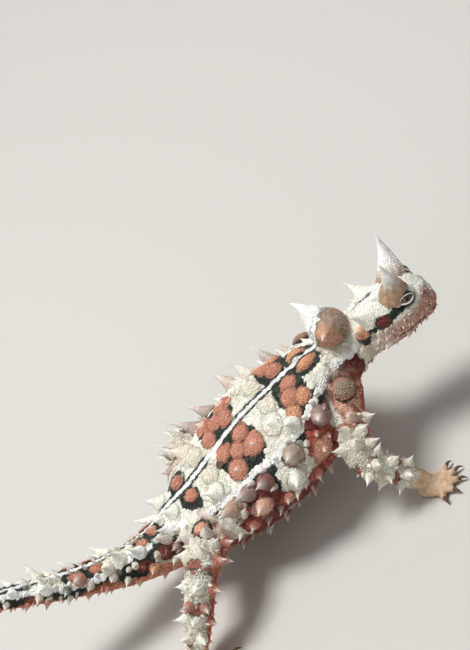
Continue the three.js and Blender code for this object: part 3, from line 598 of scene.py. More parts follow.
# Colours of a limb: cream outside, red with white grains below, dark and red bands, tan feet
def limbColours(points, t, normals, fore):
    colour = mix(tone["limb"], tone["cream"], ramp(rolling(points, 8, 1.1), 0, 0.5))
    colour = mix(colour, tone["grey"], ramp(rolling(points, 3.4, 2.4), 0.25, 0.65) * 0.7)
    wobble = rolling(points, 4.0, 2.0)
    band = np.abs(((t + 0.1 * wobble) * (1.0 if fore else 1.15) + 0.3) % 1.0 - 0.5)
    patchy = ramp(t, 0.9, 1.2) * ramp(rolling(points, 9, 3.0) + (0.0 if fore else 0.35), 0.0, 0.2)
    colour = mix(colour, tone["dark"], (1 - ramp(band, 0.13, 0.17)) * patchy * 0.9)
    colour = mix(colour, 0.5 * tone["russet"] + 0.5 * tone["maroon"], (1 - ramp(band, 0.08, 0.11)) * patchy)
    mirrored = np.stack([points[:, 0], -np.abs(points[:, 1]), points[:, 2]], -1)
    streaks = ramp(rolling(points * [1, 0.5, 0.35], 3.6, 4.0), 0.0, 0.3)
    ahead = ramp(points[:, 0] + 0.4 * wobble, *((20.5, 22) if fore else (-24, -21)))
    root = (1 - ramp(t + 0.15 * wobble, *((1.0, 1.3) if fore else (0.6, 1.0)))) * ahead
    flush = 0.5 * tone["pink"] + 0.5 * tone["russet"] if fore else tone["brick"]
    colour = mix(colour, flush, root * 0.85)
    colour = mix(colour, tone["maroon"], root * streaks * 0.75)
    under = ramp(0.75 * normals[:, 0] - normals[:, 2] + 0.25 * wobble, 0.2, 0.5)
    colour = mix(colour, tone["limbUnder"], under)
    for boss in rootBosses:
        away = np.linalg.norm(mirrored - boss["centre"], axis=-1) - boss["radius"] + 0.14 * wobble
        colour = mix(colour, tone["dark"], 1 - ramp(away, boss["ring"], boss["ring"] + 0.3))
        ground = mix(tone[boss["tone"]], 0.75 * tone["russet"], ramp(away, -0.9, -0.05))
        colour = mix(colour, ground, 1 - ramp(away, -0.2, 0.12))
    colour = mix(colour, tone["cream"], under * ramp(rolling(points, 1.5, 7.0), 0.4, 0.6) * 0.8)
    return mix(colour, tone["tan"], ramp(t, 3.7, 3.95) * 0.75)


knob = {"centre": np.array([32.4, 0, 39.4]), "half": [5.2, 5.8, 4.4]}


# Colours of the knob: pale grey behind and to the left, brown ahead, orange low, with dark streaks, and
# painted shadow that darkens its underside
def knobColours(points):
    d = (points - knob["centre"]) / knob["half"]
    pale = d @ [-0.75, 0.75, 0.25] + 0.22 * rolling(points, 4.5, 1.0)
    colour = mix(tone["brown"], tone["russet"], 0.4 * ramp(rolling(points, 2.6, 3.0), -0.3, 0.6))
    colour = mix(colour, tone["grey"], 0.5 * ramp(rolling(points, 1.8, 5.0), 0.0, 0.6))
    colour = mix(colour, tone["orange"], 0.6 * ramp(d @ [-0.8, -0.6, -0.2], 0.25, 0.6))
    colour = mix(colour, tone["white"] * 0.92, ramp(pale, 0.3, 0.48))
    edge = 1 - ramp(np.abs(pale - 0.3), 0.05, 0.13)
    streak = edge + 0.7 * (1 - ramp(np.abs(pale - 0.68), 0.03, 0.09))
    colour = mix(colour, tone["grey"] * 0.42, 0.85 * np.clip(streak, 0, 1))
    # Painted shadow: the lowest part of the knob, where it sits on the neck, turns dark
    return mix(colour, tone["dark"], ramp(-d[:, 2], 0.5, 0.72) * 0.9)


surfaceBlend = 0.35  # mm over which the markings of one surface give way to another's


# Colour of the markings at each point: the surfaces' own, weighed by exp(-height above the lowest / blend)
def coloursAt(points, normals):
    tt, tphi, x, trunkHeight = trunkPlace(points)
    p, _, _, headHeight = headPlace(points)
    heights = [trunkHeight, headHeight]
    colours = [trunkColours(points, tt, tphi, x), headColours(points, p)]
    for name in limbs:
        lt, _, height = limbPlace(name, points)
        heights.append(height + 0.3)
        colours.append(limbColours(points, lt, normals, "fore" in name))
    d = (points - knob["centre"]) / knob["half"]
    heights.append((np.linalg.norm(d, axis=-1) - 1) * knob["half"][2])
    colours.append(knobColours(points))
    heights = np.array(heights)
    weights = np.exp(-np.clip(heights - heights.min(0), 0, 20) / surfaceBlend)
    weights /= weights.sum(0)
    return (np.array(colours) * weights[..., None]).sum(0)


# Places on the trunk of an x and an angle: the station is read off the x of the centre line
def stationAt(x):
    t = np.linspace(0, trunk["end"], 400)
    return np.interp(x, rowsAt(trunk["rows"], t)[:, 0], t)


# Both twins of every boss, left before right: place, normal, radius and height
bossPhi = np.radians([b[1] * side for b in bosses for side in (1, -1)])
bossX = [b[0] - (farSide["shift"] if side > 0 else 0.0) for b in bosses for side in (1, -1)]
bossT = stationAt(np.array(bossX))
bossPhi = bossPhi + tailRoll(rowsAt(trunk["rows"], bossT)[:, 0])
bossAt, bossNormal = pointOn("trunk", bossT, bossPhi), normalOn("trunk", bossT, bossPhi)
bossRadius = np.repeat([b[2] for b in bosses], 2).astype(float)
bossHeight = np.repeat([b[3] for b in bosses], 2).astype(float)


# True for the points further from every boss than 0.9 of its radius
def offBosses(points):
    away = np.linalg.norm(points[:, None] - bossAt[None], axis=-1) - bossRadius * 0.9
    return away.min(1) > 0


# Sites of thorns and spines


# Groups of sites one after the other
def joinSites(*groups):
    return [np.concatenate(k) for k in zip(*groups)]


# Sites in rows on both sides of the trunk: place, normal, axis, length, radius, part, t and phi
def trunkSites(stretches):
    found = []
    for stretch in stretches.values():
        t0, t1 = stretch["from"], stretch["to"]
        x0, x1 = rowsAt(trunk["rows"], np.array([t0, t1]))[:, 0]
        for row, (angle, length, radius, spacing) in enumerate(stretch["rows"]):
            count = max(1, round((x1 - x0 - 2 * radius) / spacing))
            share = (np.arange(count) + (0.3 if row % 2 else 0.7)) / count
            for side in (1, -1):
                t = t0 + (t1 - t0) * np.clip(share + 0.03 * (rng.random(count) - 0.5), 0.02, 0.98)
                phi = side * np.radians(angle * (1 + 0.08 * (rng.random(count) - 0.5)))
                phi = phi + tailRoll(rowsAt(trunk["rows"], t)[:, 0])
                at, normal = pointOn("trunk", t, phi), normalOn("trunk", t, phi)
                axis = unit(normal + [-thornLean, 0, 0])
                vary = 1 + 0.26 * (rng.random(count) - 0.5)
                width = radius * (0.94 + 0.12 * rng.random(count))
                found.append((at, normal, axis, length * vary, width, np.full(count, 0), t, phi))
    return joinSites(*found)


# Sites in rings round each limb, longer where they look outwards, and kept to the sides that look up or out
def limbSites(length, radius, spacing, perRing, facing, lowest):
    found = []
    for index, name in enumerate(limbs):
        side = 1 if "left" in name else -1
        for t0, t1, scale in limbStretches:
            ends = pointOn(name, np.array([t0, (t0 + t1) / 2, t1]), 0.0)
            rings = max(2, round(np.linalg.norm(np.diff(ends, axis=0), axis=1).sum() / spacing))
            ring, k = np.meshgrid(np.arange(rings), np.arange(perRing), indexing="ij")
            t = (t0 + 0.06 + (t1 - t0 - 0.12) * (ring + 0.5) / rings).ravel()
            phi = (2 * np.pi * (k + (ring % 2) / 2) / perRing).ravel()
            at, normal = pointOn(name, t, phi), normalOn(name, t, phi)
            outward = normal[:, 1] * side * 0.8 + normal[:, 2] * 0.55 - normal[:, 0] * 0.2
            keep = (outward > facing) & (at[:, 2] > lowest) & (trunkPlace(at)[3] > 2.4)
            reach = length * scale * (0.7 + 0.5 * np.maximum(outward, 0)) * (0.9 + 0.2 * rng.random(len(t)))
            width, part = np.full(len(t), radius * scale), np.full(len(t), 2 + index)
            axis = unit(normal + [0, 0, 0.1])
            found.append([v[keep] for v in (at, normal, axis, reach, width, part, t, phi)])
    return joinSites(*found)


# Sites of the head's own thorns: the mirrored place and direction, turned with the head
def headSites():
    rows = [(at, to, length, radius, 1) for at, to, length, radius in crownThorns]
    rows += [(at, to, length, radius, side) for at, to, length, radius in headThorns for side in (1, -1)]
    mirror = np.array([[1, side, 1] for *_, side in rows])
    at = turnHead(np.array([r[0] for r in rows]) * mirror)
    way = unit(np.array([r[1] for r in rows], float) * mirror) @ headSpin.T
    _, t, phi, _ = headPlace(at)
    length, radius = np.array([r[2:4] for r in rows], float).T
    return [at - way * 0.3, way, way, length, radius, np.full(len(rows), 1), t, phi]


# The sites that stand off every limb but their own by a share of their radius
def clearOfLimbs(sites, room):
    keep = np.ones(len(sites[0]), bool)
    for index, name in enumerate(limbs):
        height = limbPlace(name, sites[0])[2]
        keep &= (height > room * sites[4]) | (sites[5] == 2 + index)
    return [v[keep] for v in sites]


# Sites of the thorns on the bosses, tipped back like the rest, each no wider than 0.92 of its boss
def bossSites():
    length = np.repeat([b[4] for b in bosses], 2).astype(float)
    keep = length > 0
    at, normal = bossAt[keep], bossNormal[keep]
    axis = unit(normal + [-thornLean * 0.8, 0, 0])
    vary = 0.92 + 0.16 * rng.random(keep.sum())
    width = np.minimum(bossRadius[keep] * 0.92, 0.9 + length[keep] * 0.34)
    vary *= np.where(bossPhi[keep] > 0, farSide["thorns"], 1.0)
    part = np.zeros(keep.sum(), int)
    return [at, normal, axis, length[keep] * vary, width, part, bossT[keep], bossPhi[keep]]


allSpines = clearOfLimbs(trunkSites(spineRows), 1.0)
bigSites = joinSites(
    clearOfLimbs(bossSites(), 0.6),
    clearOfLimbs(trunkSites(thornRows), 0.9),
    limbSites(**limbThorns),
    headSites(),
)
smallSites = joinSites(
    [v[offBosses(allSpines[0])] for v in allSpines],
    limbSites(**limbSpines),
)
print(len(bigSites[0]), "thorns and", len(smallSites[0]), "spines placed")


mound = {"height": 0.3, "width": 1.1, "dome": 0.62, "reach": 1.06}


# Height of the skin's mounds: bells under the thorns, and for the bosses (1 - distance squared) to the dome
def moundAt(points):
    height = np.zeros(len(points))
    for at, radius in zip(bigSites[0], bigSites[4]):
        d2 = ((points - at) ** 2).sum(-1) / (radius * mound["width"]) ** 2
        height = np.maximum(height, mound["height"] * radius * np.exp(-d2))
    domes = [*zip(bossAt, bossRadius, bossHeight)]
    domes += [(b["centre"] * [1, side, 1], b["radius"], b["height"]) for b in rootBosses for side in (1, -1)]
    for at, radius, tall in domes:
        d2 = ((points - at) ** 2).sum(-1) / (radius * mound["reach"]) ** 2
        height = np.maximum(height, tall * np.maximum(1 - d2, 0) ** mound["dome"])
    return height


# shade: factor that darkens the skin's markings, painted shade for the crevices between the scales
skinBuild = {"voxel": 0.43, "inset": 0.3, "smoothing": 8, "lip": 0.34, "wrinkle": 0.07, "shade": 0.82}
toeShares = np.array([0, 0.25, 0.5, 0.7, 0.8])
toeGirths = [1.2, 1.15, 1.1, 0.95, 0.6]


# The shapes that the skin joins: every surface less the inset, the knob, the brows, wrists, palms and toes
def skinShapes():
    inset = skinBuild["inset"]
    shapes = [
        surfaceTube("trunk", 0, trunk["end"], 150, 64, inset),
        surfaceTube("head", 0, len(head["rows"]) - 1, 90, 56, inset),
        eggShape(knob["centre"], knob["half"]),
    ]
    for side in (1, -1):
        brow = np.array(head["eye"]) * [1, side, 1] + [-0.4, -1.5 * side, -0.2]
        shapes.append(eggShape(turnHead(brow[None])[0], [3.1, 2.9, 2.9]))
    for name, limb in limbs.items():
        shapes.append(surfaceTube(name, 0, 4, 40, 32, inset))
        wrist, facing, palm, toes = footOf(limb)
        girths = np.array([0.96, 0.85, 0.7]) * limb["radii"][4]
        shapes.append(sweptTube([wrist + [0, 0, 0.6], (wrist + palm) / 2, palm], girths))
        shapes.append(eggShape(palm, np.array(limb["palm"]) - 0.1, facing))
        for start, way, length in toes:
            knuckles = np.array([0, 0, 1.0]) * (0.15 * np.sin(toeShares * 9))[:, None]
            line = start + way * (toeShares * length)[:, None] + knuckles
            shapes.append(sweptTube(line, toeGirths, 12))
    return shapes


# Vertices moved towards the mean of their neighbours, a few times over
def relax(vertices, edges, times, share=0.5):
    a, b = edges.T
    count = np.bincount(edges.ravel(), minlength=len(vertices))[:, None]
    for _ in range(times):
        total = np.zeros_like(vertices)
        for k in range(3):
            ahead = np.bincount(a, vertices[b, k], len(vertices))
            total[:, k] = ahead + np.bincount(b, vertices[a, k], len(vertices))
        vertices = vertices + share * (total / count - vertices)
    return vertices


# Vertices of a mesh in millimetres from the origin of the sections
def vertexArray(mesh):
    co = np.zeros(len(mesh.vertices) * 3, np.float32)
    mesh.vertices.foreach_get("co", co)
    return co.reshape(-1, 3).astype(float) / mm - origin


# The way back: (vertices + origin) * mm
def setVertices(mesh, vertices):
    mesh.vertices.foreach_set("co", ((vertices + origin) * mm).astype(np.float32).ravel())
    mesh.update()


# Normals at the vertices of a mesh
def normalArray(mesh):
    no = np.zeros(len(mesh.vertices) * 3, np.float32)
    mesh.vertex_normals.foreach_get("vector", no)
    return no.reshape(-1, 3).astype(float)


# One colour per vertex, as the layer that every finish reads
def paint(mesh, colours):
    rgba = np.ones((len(colours), 4), np.float32)
    rgba[:, :3] = np.clip(colours, 0, 1)
    layer = mesh.color_attributes.new("markings", "FLOAT_COLOR", "POINT")
    layer.data.foreach_set("color", rgba.ravel())


# How far the skin is pushed out at each point: mounds, wrinkles and lips out, mouth line, nostrils, ears in
def reliefAt(points):
    out = moundAt(points) + skinBuild["wrinkle"] * (rolling(points, 1.7, 1.0) + rolling(points, 2.9, 4.0))
    p = straightenHead(points)
    x, y, z = p.T
    hinge, gap = head["mouthHinge"], np.abs(z - mouthAt(x))
    onHead = (x > hinge - 1.5) & (headPlace(points)[3] < 2.5)
    line = np.exp(-(gap / 0.32) ** 2) * ramp(x, hinge - 1.2, hinge + 1.0)
    lips = np.exp(-((gap - 0.75) / 0.45) ** 2) * ramp(x, hinge, hinge + 2)
    out += onHead * (skinBuild["lip"] * lips * 0.5 - skinBuild["lip"] * 1.5 * line)
    mirrored = np.stack([x, np.abs(y), z], -1)
    out -= 0.7 * np.exp(-(np.linalg.norm((mirrored - head["nostril"]) / [0.7, 0.9, 0.55], axis=-1)) ** 4)
    out -= 0.8 * np.exp(-(np.linalg.norm((mirrored - head["ear"]) / [1.2, 1.6, 1.6], axis=-1)) ** 4)
    return out


# Places on the skin: point + normal * (relief - inset)
def onRelief(at, normal):
    return at + normal * (reliefAt(at) - skinBuild["inset"])[:, None]


# The skin: the shapes joined by a fine voxel remesh, relaxed, then pushed along its normals by the relief
def makeSkin():
    vertices, faceBlocks = joinShapes(skinShapes())
    rough = makePiece("skin_rough", vertices, faceBlocks)
    remesh = rough.modifiers.new("join", "REMESH")
    remesh.mode = "VOXEL"
    remesh.voxel_size = skinBuild["voxel"] * mm
    remesh.adaptivity = 0
    graph = bpy.context.evaluated_depsgraph_get()
    mesh = bpy.data.meshes.new_from_object(rough.evaluated_get(graph))
    bpy.data.objects.remove(rough)
    mesh.name = "skin"
    edges = np.zeros(len(mesh.edges) * 2, np.int32)
    mesh.edges.foreach_get("vertices", edges)
    vertices = relax(vertexArray(mesh), edges.reshape(-1, 2), skinBuild["smoothing"])
    setVertices(mesh, vertices)
    vertices = vertices + normalArray(mesh) * reliefAt(vertices)[:, None]
    vertices[:, 2] = np.maximum(vertices[:, 2], 0.03)
    setVertices(mesh, vertices)
    mesh.polygons.foreach_set("use_smooth", np.ones(len(mesh.polygons), bool))
    # Painted shade: the skin shows only in the crevices between scales, so its markings are darkened there
    paint(mesh, coloursAt(vertices, normalArray(mesh)) * skinBuild["shade"])
    piece = bpy.data.objects.new("skin", mesh)
    bpy.context.scene.collection.objects.link(piece)
    print("skin of", len(mesh.polygons), "faces")
    return piece


skin = makeSkin()

# Thorns and scales over the skin


# Place of a root on the map: a block for each surface, with t along it and phi round it
def bakePlace(part, t, phi):
    u = np.zeros(len(t))
    v = np.zeros(len(t))
    round01 = (phi / (2 * np.pi)) % 1.0
    blocks = {0: (0.02, 0.58, 0.02, 0.96, 16.6), 1: (0.64, 0.34, 0.56, 0.42, 9.0)}
    for k in range(4):
        blocks[2 + k] = (0.64 + 0.18 * (k % 2), 0.15, 0.03 + 0.26 * (k // 2), 0.22, 4.0)
    for index, (u0, uSize, v0, vSize, tEnd) in blocks.items():
        here = part == index
        u[here] = u0 + uSize * np.clip(t[here] / tEnd, 0, 1)
        v[here] = v0 + vSize * round01[here]
    return np.stack([u, v], -1)


patchSize = 0.003  # of one scale or thorn on that map
tipBlend = (0.12, 0.85)  # shares of the length between which the root colour turns into the tip colour


# Many tapered bodies as one mesh: rings about root + axis * length * share + bend * share squared
def growPiece(name, root, axis, length, radius, profile, sides, colours, tipColours, places, bend=None):
    count, rings = len(root), len(profile)
    across = unit(np.cross(axis, unit(rng.normal(size=(count, 3)))))
    over = np.cross(axis, across)
    share, wide = np.array(profile).T
    centre = root[:, None] + axis[:, None] * (length[:, None] * share)[..., None]
    tip = root + axis * length[:, None]
    if bend is not None:
        centre = centre + bend[:, None] * (np.maximum(share, 0) ** 2)[None, :, None]
        tip = tip + bend
    a = turns(sides)
    circle = across[:, None, None] * np.cos(a)[:, None] + over[:, None, None] * np.sin(a)[:, None]
    ringPoints = centre[:, :, None] + circle * (radius[:, None] * wide)[:, :, None, None]
    vertices = np.concatenate([ringPoints.reshape(count, -1, 3), tip[:, None]], 1).reshape(-1, 3)
    s = np.arange(sides)
    n = (s + 1) % sides
    first = (np.arange(rings - 1) * sides)[:, None]
    bands = np.stack([s + first, n + first, n + first + sides, s + first + sides], -1).reshape(-1, 4)
    top = (rings - 1) * sides
    point = np.stack([s + top, n + top, np.full(sides, rings * sides)], -1)
    under = np.stack([np.zeros(sides - 2, int), s[2:], s[1:-1]], -1)
    start = (np.arange(count) * (rings * sides + 1))[:, None, None]
    quads = (bands[None] + start).reshape(-1, 4)
    triangles = (np.concatenate([point, under])[None] + start).reshape(-1, 3)
    piece = makePiece(name, vertices, [quads, triangles])
    blend = ramp(np.concatenate([np.repeat(np.clip(share, 0, 1), sides), [1.0]]), *tipBlend)
    colour = colours[:, None] + (tipColours - colours)[:, None] * blend[None, :, None]
    paint(piece.data, colour.reshape(-1, 3))
    flat = np.tile(np.stack([np.cos(a), np.sin(a)], -1), (rings, 1))
    spot = np.concatenate([np.repeat(wide, sides)[:, None] * flat, [[0, 0]]])
    uv = (places[:, None] + spot[None] * patchSize / 2).reshape(-1, 2)
    corner = np.zeros(len(piece.data.loops), np.int32)
    piece.data.loops.foreach_get("vertex_index", corner)
    layer = piece.data.uv_layers.new(name="OFBake")
    layer.data.foreach_set("uv", uv[corner].astype(np.float32).ravel())
    return piece


thornShape = {"steps": 8, "flare": 1.75, "sunk": 0.16, "sides": 12, "bend": 0.16, "pale": 0.75}
spineShape = {"steps": 4, "flare": 1.3, "sunk": 0.22, "sides": 7, "bend": 0.12, "pale": 0.45}


# Profile of a thorn: its width falls as (1 - share) to the flare, from a sunk root
def thornProfile(shape):
    share = np.concatenate([[-shape["sunk"]], np.linspace(0, 0.93, shape["steps"]) ** 1.1])
    wide = (1 - np.maximum(share, 0)) ** shape["flare"]
    wide[0] = 1.12
    return list(zip(share, wide))


# Root colours of thorns: the marking, lifted towards cream where it is dark. Their tips: that, towards white
def thornColours(sites, paleTip):
    colours = coloursAt(sites[0], sites[1])
    darkness = 1 - ramp(colours.mean(-1), 0.04, 0.1)
    far = farSide["pale"] * (sites[1][:, 1] > 0.2) * (sites[5] == 0)
    pale = 0.8 * tone["cream"] + 0.2 * tone["pink"]
    colours = mix(colours, pale, np.maximum(0.08 + 0.7 * darkness, far))
    return colours, mix(colours, tone["white"], np.full(len(colours), paleTip))


# Roots of thorns just under the skin, and their bend: backwards, less its part along the axis, times length
def thornCurve(sites, shape):
    at, normal, axis, length = sites[:4]
    root = at + normal * (moundAt(at) * 0.6 - skinBuild["inset"])[:, None]
    back = np.array([-1.0, 0, 0])
    bend = (back - (back * axis).sum(-1, keepdims=True) * axis) * (length * shape["bend"])[:, None]
    return root, bend


# One piece of thorns or spines at their sites
def growThorns(name, sites, shape):
    _, _, axis, length, radius, part, t, phi = sites
    root, bend = thornCurve(sites, shape)
    colours, tips = thornColours(sites, shape["pale"])
    length, places = length + skinBuild["inset"], bakePlace(part, t, phi)
    profile, sides = thornProfile(shape), shape["sides"]
    return growPiece(name, root, axis, length, radius, profile, sides, colours, tips, places, bend)


# For rings of the given counts: the ring that each place is on, and its number on that ring
def countOff(counts):
    ring = np.repeat(np.arange(len(counts)), counts)
    return ring, np.arange(len(ring)) - np.repeat(np.cumsum(counts) - counts, counts)


rosettes = {"shares": (0.03, 0.11, 0.19, 0.28, 0.38), "spacing": 0.66, "size": 0.6, "least": 1.15}


# Scales on the sides of thorns: the centre line of the thorn at a share + radius * profile there * a circle
def rosetteSites(sites):
    _, _, axis, length, radius, part, t, phi = sites
    across = unit(np.cross(axis, [0.31, 0.52, 0.79]))
    over = np.cross(axis, across)
    root, bend = thornCurve(sites, thornShape)
    colours, tips = thornColours(sites, thornShape["pale"])
    found = []
    for share in rosettes["shares"]:
        wide = radius * (1 - share) ** thornShape["flare"]
        counts = np.maximum(3, np.round(2 * np.pi * wide / rosettes["spacing"])).astype(int)
        which, k = countOff(counts)
        a = 2 * np.pi * (k + 0.4 * rng.random(len(which)) + 5 * share) / counts[which]
        ring = across[which] * np.cos(a)[:, None] + over[which] * np.sin(a)[:, None]
        centre = root[which] + axis[which] * (length[which] * share)[:, None] + bend[which] * share ** 2
        at, normal = centre + ring * wide[which, None] * 0.97, unit(ring + 0.75 * axis[which])
        colour = colours[which] + (tips - colours)[which] * ramp(share, *tipBlend)
        found.append([at, normal, part[which], t[which], phi[which], colour])
    return joinSites(*found)


# The sites that no thorn covers: further from every root than 0.8 of its radius
def clearUnderThorns(sites):
    away = np.full(len(sites[0]), 9.0)
    for at, radius in zip(bigSites[0], bigSites[4]):
        away = np.minimum(away, np.linalg.norm(sites[0] - at, axis=-1) - 0.8 * radius)
    return [v[away > 0] for v in sites]


scaleBuild = {"trunk": 0.62, "head": 0.56, "limb": 0.60, "horn": 0.58, "height": 0.12, "sides": 6}
scaleProfile = [(-0.5, 1.0), (0.5, 0.78)]


# Sites in staggered rings over a surface: rings at equal steps along it, and equal steps round each ring
def scaleSites(surface, part, t0, t1, spacing):
    fine = np.linspace(t0, t1, 600)
    steps = np.linalg.norm(np.diff(pointOn(surface, fine, 1.57), axis=0), axis=1)
    arc = np.concatenate([[0], np.cumsum(steps)])
    rings = int(arc[-1] / (spacing * 0.87))
    t = np.interp((np.arange(rings) + 0.5) / rings * arc[-1], arc, fine)
    sides = 24
    ringPoints = pointOn(surface, np.repeat(t, sides), np.tile(turns(sides), rings)).reshape(rings, sides, 3)
    girth = np.linalg.norm(ringPoints - np.roll(ringPoints, 1, 1), axis=-1).sum(1)
    counts = np.maximum(3, np.round(girth / spacing)).astype(int)
    row, k = countOff(counts)
    phi = 2 * np.pi * (k + 0.5 * (row % 2) + 0.7 * (rng.random(len(row)) - 0.5)) / counts[row]
    tt = t[row] + 0.7 * spacing * (rng.random(len(row)) - 0.5) * (t1 - t0) / arc[-1]
    return pointOn(surface, tt, phi), normalOn(surface, tt, phi), np.full(len(row), part), tt, phi


# The sites of one surface that lie in no other, and clear of knob, eyes, mouth and floor
def visibleSites(sites, part):
    at = sites[0]
    keep = np.ones(len(at), bool)
    if part != 0:
        keep &= trunkPlace(at)[3] > -0.1
    if part != 1:
        keep &= headPlace(at)[3] > -0.1
    for index, name in enumerate(limbs):
        if part != 2 + index:
            keep &= limbPlace(name, at)[2] > -0.1
    keep &= np.linalg.norm((at - knob["centre"]) / knob["half"], axis=-1) > 0.99
    p = straightenHead(at)
    mirrored = p * [1, 0, 1] + np.abs(p) * [0, 1, 0]
    keep &= np.linalg.norm(mirrored - head["eye"], axis=-1) > head["eyeRadius"] + 0.9
    if part == 1:
        keep &= (np.abs(p[:, 2] - mouthAt(p[:, 0])) > 0.3) | (p[:, 0] < head["mouthHinge"])
    keep &= at[:, 2] > 0.5
    return [v[keep] for v in sites]


# Scales at sites, on the relief unless the sites carry colours, with sizes and tones that vary, and a painted
# highlight that lightens each towards its top
def growScales(name, sites, spacing):
    at, normal, part, t, phi = sites[:5]
    onSkin = len(sites) == 5
    root = onRelief(at, normal) if onSkin else at
    colours = coloursAt(at, normal) if onSkin else sites[5]
    colours = colours * (0.92 + 0.14 * rng.random(len(at)))[:, None]
    radius = spacing * 0.5 * (0.72 + 0.75 * rng.random(len(at)) ** 2)
    height = scaleBuild["height"] * (0.7 + 0.8 * rng.random(len(at)))
    axis = unit(normal + 0.09 * rng.normal(size=at.shape))
    # Painted highlight: each scale is 12 % lighter at its top than at its rim
    tips, places = np.clip(colours * 1.12, 0, 1), bakePlace(part, t, phi)
    sides = scaleBuild["sides"]
    return growPiece(name, root, axis, height, radius, scaleProfile, sides, colours, tips, places)


# The scales of a surface between two places along it
def coverWithScales(name, surface, part, t0, t1, spacing):
    sites = visibleSites(scaleSites(surface, part, t0, t1, spacing), part)
    return growScales("scales_" + name, sites, spacing)


headSpines = {"spacing": 2.1, "radius": 0.45, "length": 0.4, "lowLength": 0.35, "lean": 0.3, "pale": 0.5}


# Small spines over the head, sparse on the crown and closer and longer along the lips and jaw
def headSpineSites():
    sites = scaleSites("head", 1, 2.4, len(head["rows"]) - 1.7, headSpines["spacing"])
    at, normal, part, t, phi = visibleSites(sites, 1)
    low = ramp(35.5 - straightenHead(at)[:, 2], 0, 2)
    keep = (rng.random(len(at)) < 0.25 + 0.4 * low) & (coloursAt(at, normal).mean(-1) > 0.2)
    length = (headSpines["length"] + headSpines["lowLength"] * low) * (0.7 + 0.6 * rng.random(len(at)))
    axis = unit(normal + [-headSpines["lean"], 0, 0])
    radius = np.full(len(at), headSpines["radius"])
    return [v[keep] for v in (at, normal, axis, length, radius, part, t, phi)]


pebbles = {"spacing": 2.9, "radius": 1.1, "height": 0.12, "sides": 10}
pebbleProfile = [(-0.4, 1.0), (0.35, 0.94), (0.75, 0.66), (0.95, 0.3)]


# Low pebbles among the scales, between the bosses and off the lines, smaller where the trunk is slim, each
# with painted shade that darkens it towards its rim
def growPebbles():
    sites = scaleSites("trunk", 0, 0.3, 15.8, pebbles["spacing"])
    sites = clearUnderThorns(visibleSites(sites, 0))
    section = rowsAt(trunk["rows"], sites[3])
    x, girth = section[:, 0], (section[:, 3] + section[:, 4] / 2) / 2
    spine, side = lineRoom(sites[0], sites[4] - tailRoll(x), x, girth)
    keep = offBosses(sites[0]) & (spine > 1.9) & (np.abs(side) > 2.0)
    at, normal, part, t, phi = [v[keep] for v in sites]
    colours = coloursAt(at, normal) * (0.9 + 0.16 * rng.random(len(at)))[:, None]
    widest = 0.09 + 0.12 * rowsAt(trunk["rows"], t)[:, 3] + 0.3
    radius = np.minimum(pebbles["radius"] * (0.7 + 0.6 * rng.random(len(at))), widest)
    height = pebbles["height"] * radius / 0.85 + 0.05
    root, places, sides = onRelief(at, normal), bakePlace(part, t, phi), pebbles["sides"]
    # Painted shade: each pebble is 5 % darker at its rim than at its top, so that it reads as a dome
    low = colours * 0.95
    return growPiece("pebbles", root, normal, height, radius, pebbleProfile, sides, low, colours, places)


coat = [
    growThorns("thorns", bigSites, thornShape),
    growThorns("spines", smallSites, spineShape),
    growThorns("head_spines", headSpineSites(), {**spineShape, "pale": headSpines["pale"]}),
    growPebbles(),
]
wideSites = [v[bigSites[4] > rosettes["least"]] for v in bigSites]
coat.append(growScales("thorn_scales", rosetteSites(wideSites), rosettes["size"]))
stretches = {"tail": (0.1, 7.2), "rear": (7.2, 10.0), "middle": (10.0, 12.0), "front": (12.0, 15.9)}
for name, (t0, t1) in stretches.items():
    coat.append(coverWithScales(name, "trunk", 0, t0, t1, scaleBuild["trunk"]))
coat.append(coverWithScales("head", "head", 1, 0.9, len(head["rows"]) - 1.05, scaleBuild["head"]))
for index, name in enumerate(limbs):
    coat.append(coverWithScales(name, name, 2 + index, 0.2, 3.98, scaleBuild["limb"]))

# Horns over the eyes and spines of the nape knob
hornBuild = {
    "root": [52.4, 4.3, 39.2],
    "reach": [1.7, 3.8, 11.5],
    "bend": [1.0, 0.8, 0.4],
    "radius": 4.3,
    "taper": 1.25,
    "onHead": True,
    "scaledTo": 0.44,
}
knobSpines = {
    "root": [31.8, 2.0, 40.2],
    "reach": [-3.4, 8.4, 5.0],
    "bend": [0.6, 0.5, 0.8],
    "radius": 4.6,
    "taper": 1.35,
    "onHead": False,
    "scaledTo": 0.5,
}


# A bent horn: a quadratic curve from root to root + reach, its width (1 - share) to the taper, with fine ribs
def hornShape(build, side, rings=44, sides=36, rib=0.03):
    mirror = np.array([1, side, 1])
    root, reach, bend = (np.array(build[k]) * mirror for k in ("root", "reach", "bend"))
    s = np.linspace(0, 1, rings)[:, None]
    middle = root + reach / 2 + bend
    line = (1 - s) ** 2 * root + 2 * s * (1 - s) * middle + s ** 2 * (root + reach)
    along = unit(2 * (1 - s) * (middle - root) + 2 * s * (root + reach - middle))
    across = unit(np.cross([1.0, 0, 0], along))
    over = np.cross(along, across)
    a = turns(sides)
    r = (build["radius"] - 0.15) * (1 - s) ** build["taper"] + 0.06
    r = r * (1 + rib * np.cos(a * 9 + 3 * s) * ramp(1 - s, 0.05, 0.6))
    circle = 0.9 * across[:, None] * np.cos(a)[:, None] + over[:, None] * np.sin(a)[:, None]
    grid = line[:, None] + r[..., None] * circle
    if build["onHead"]:
        grid = turnHead(grid.reshape(-1, 3)).reshape(grid.shape)
    return grid, s.ravel()


# Colour along a horn: its ground at the root, white beyond a share that is larger on the near side
def hornColours(points, share, side, onHead):
    if onHead:
        pinker = 0.5 * ramp(rolling(points, 2.6, 3.4), 0, 0.5)
        ground = mix(0.35 * tone["tan"] + 0.55 * tone["brown"], tone["pink"], pinker)
    else:
        ground = knobColours(points)
    start = 0.06 if side > 0 else 0.34 if onHead else 0.75
    wavy = share + 0.15 * (0.5 + 0.5 * rolling(points, 2.4, 1.0))
    return mix(ground, tone["white"], ramp(wavy, start, start + 0.4))


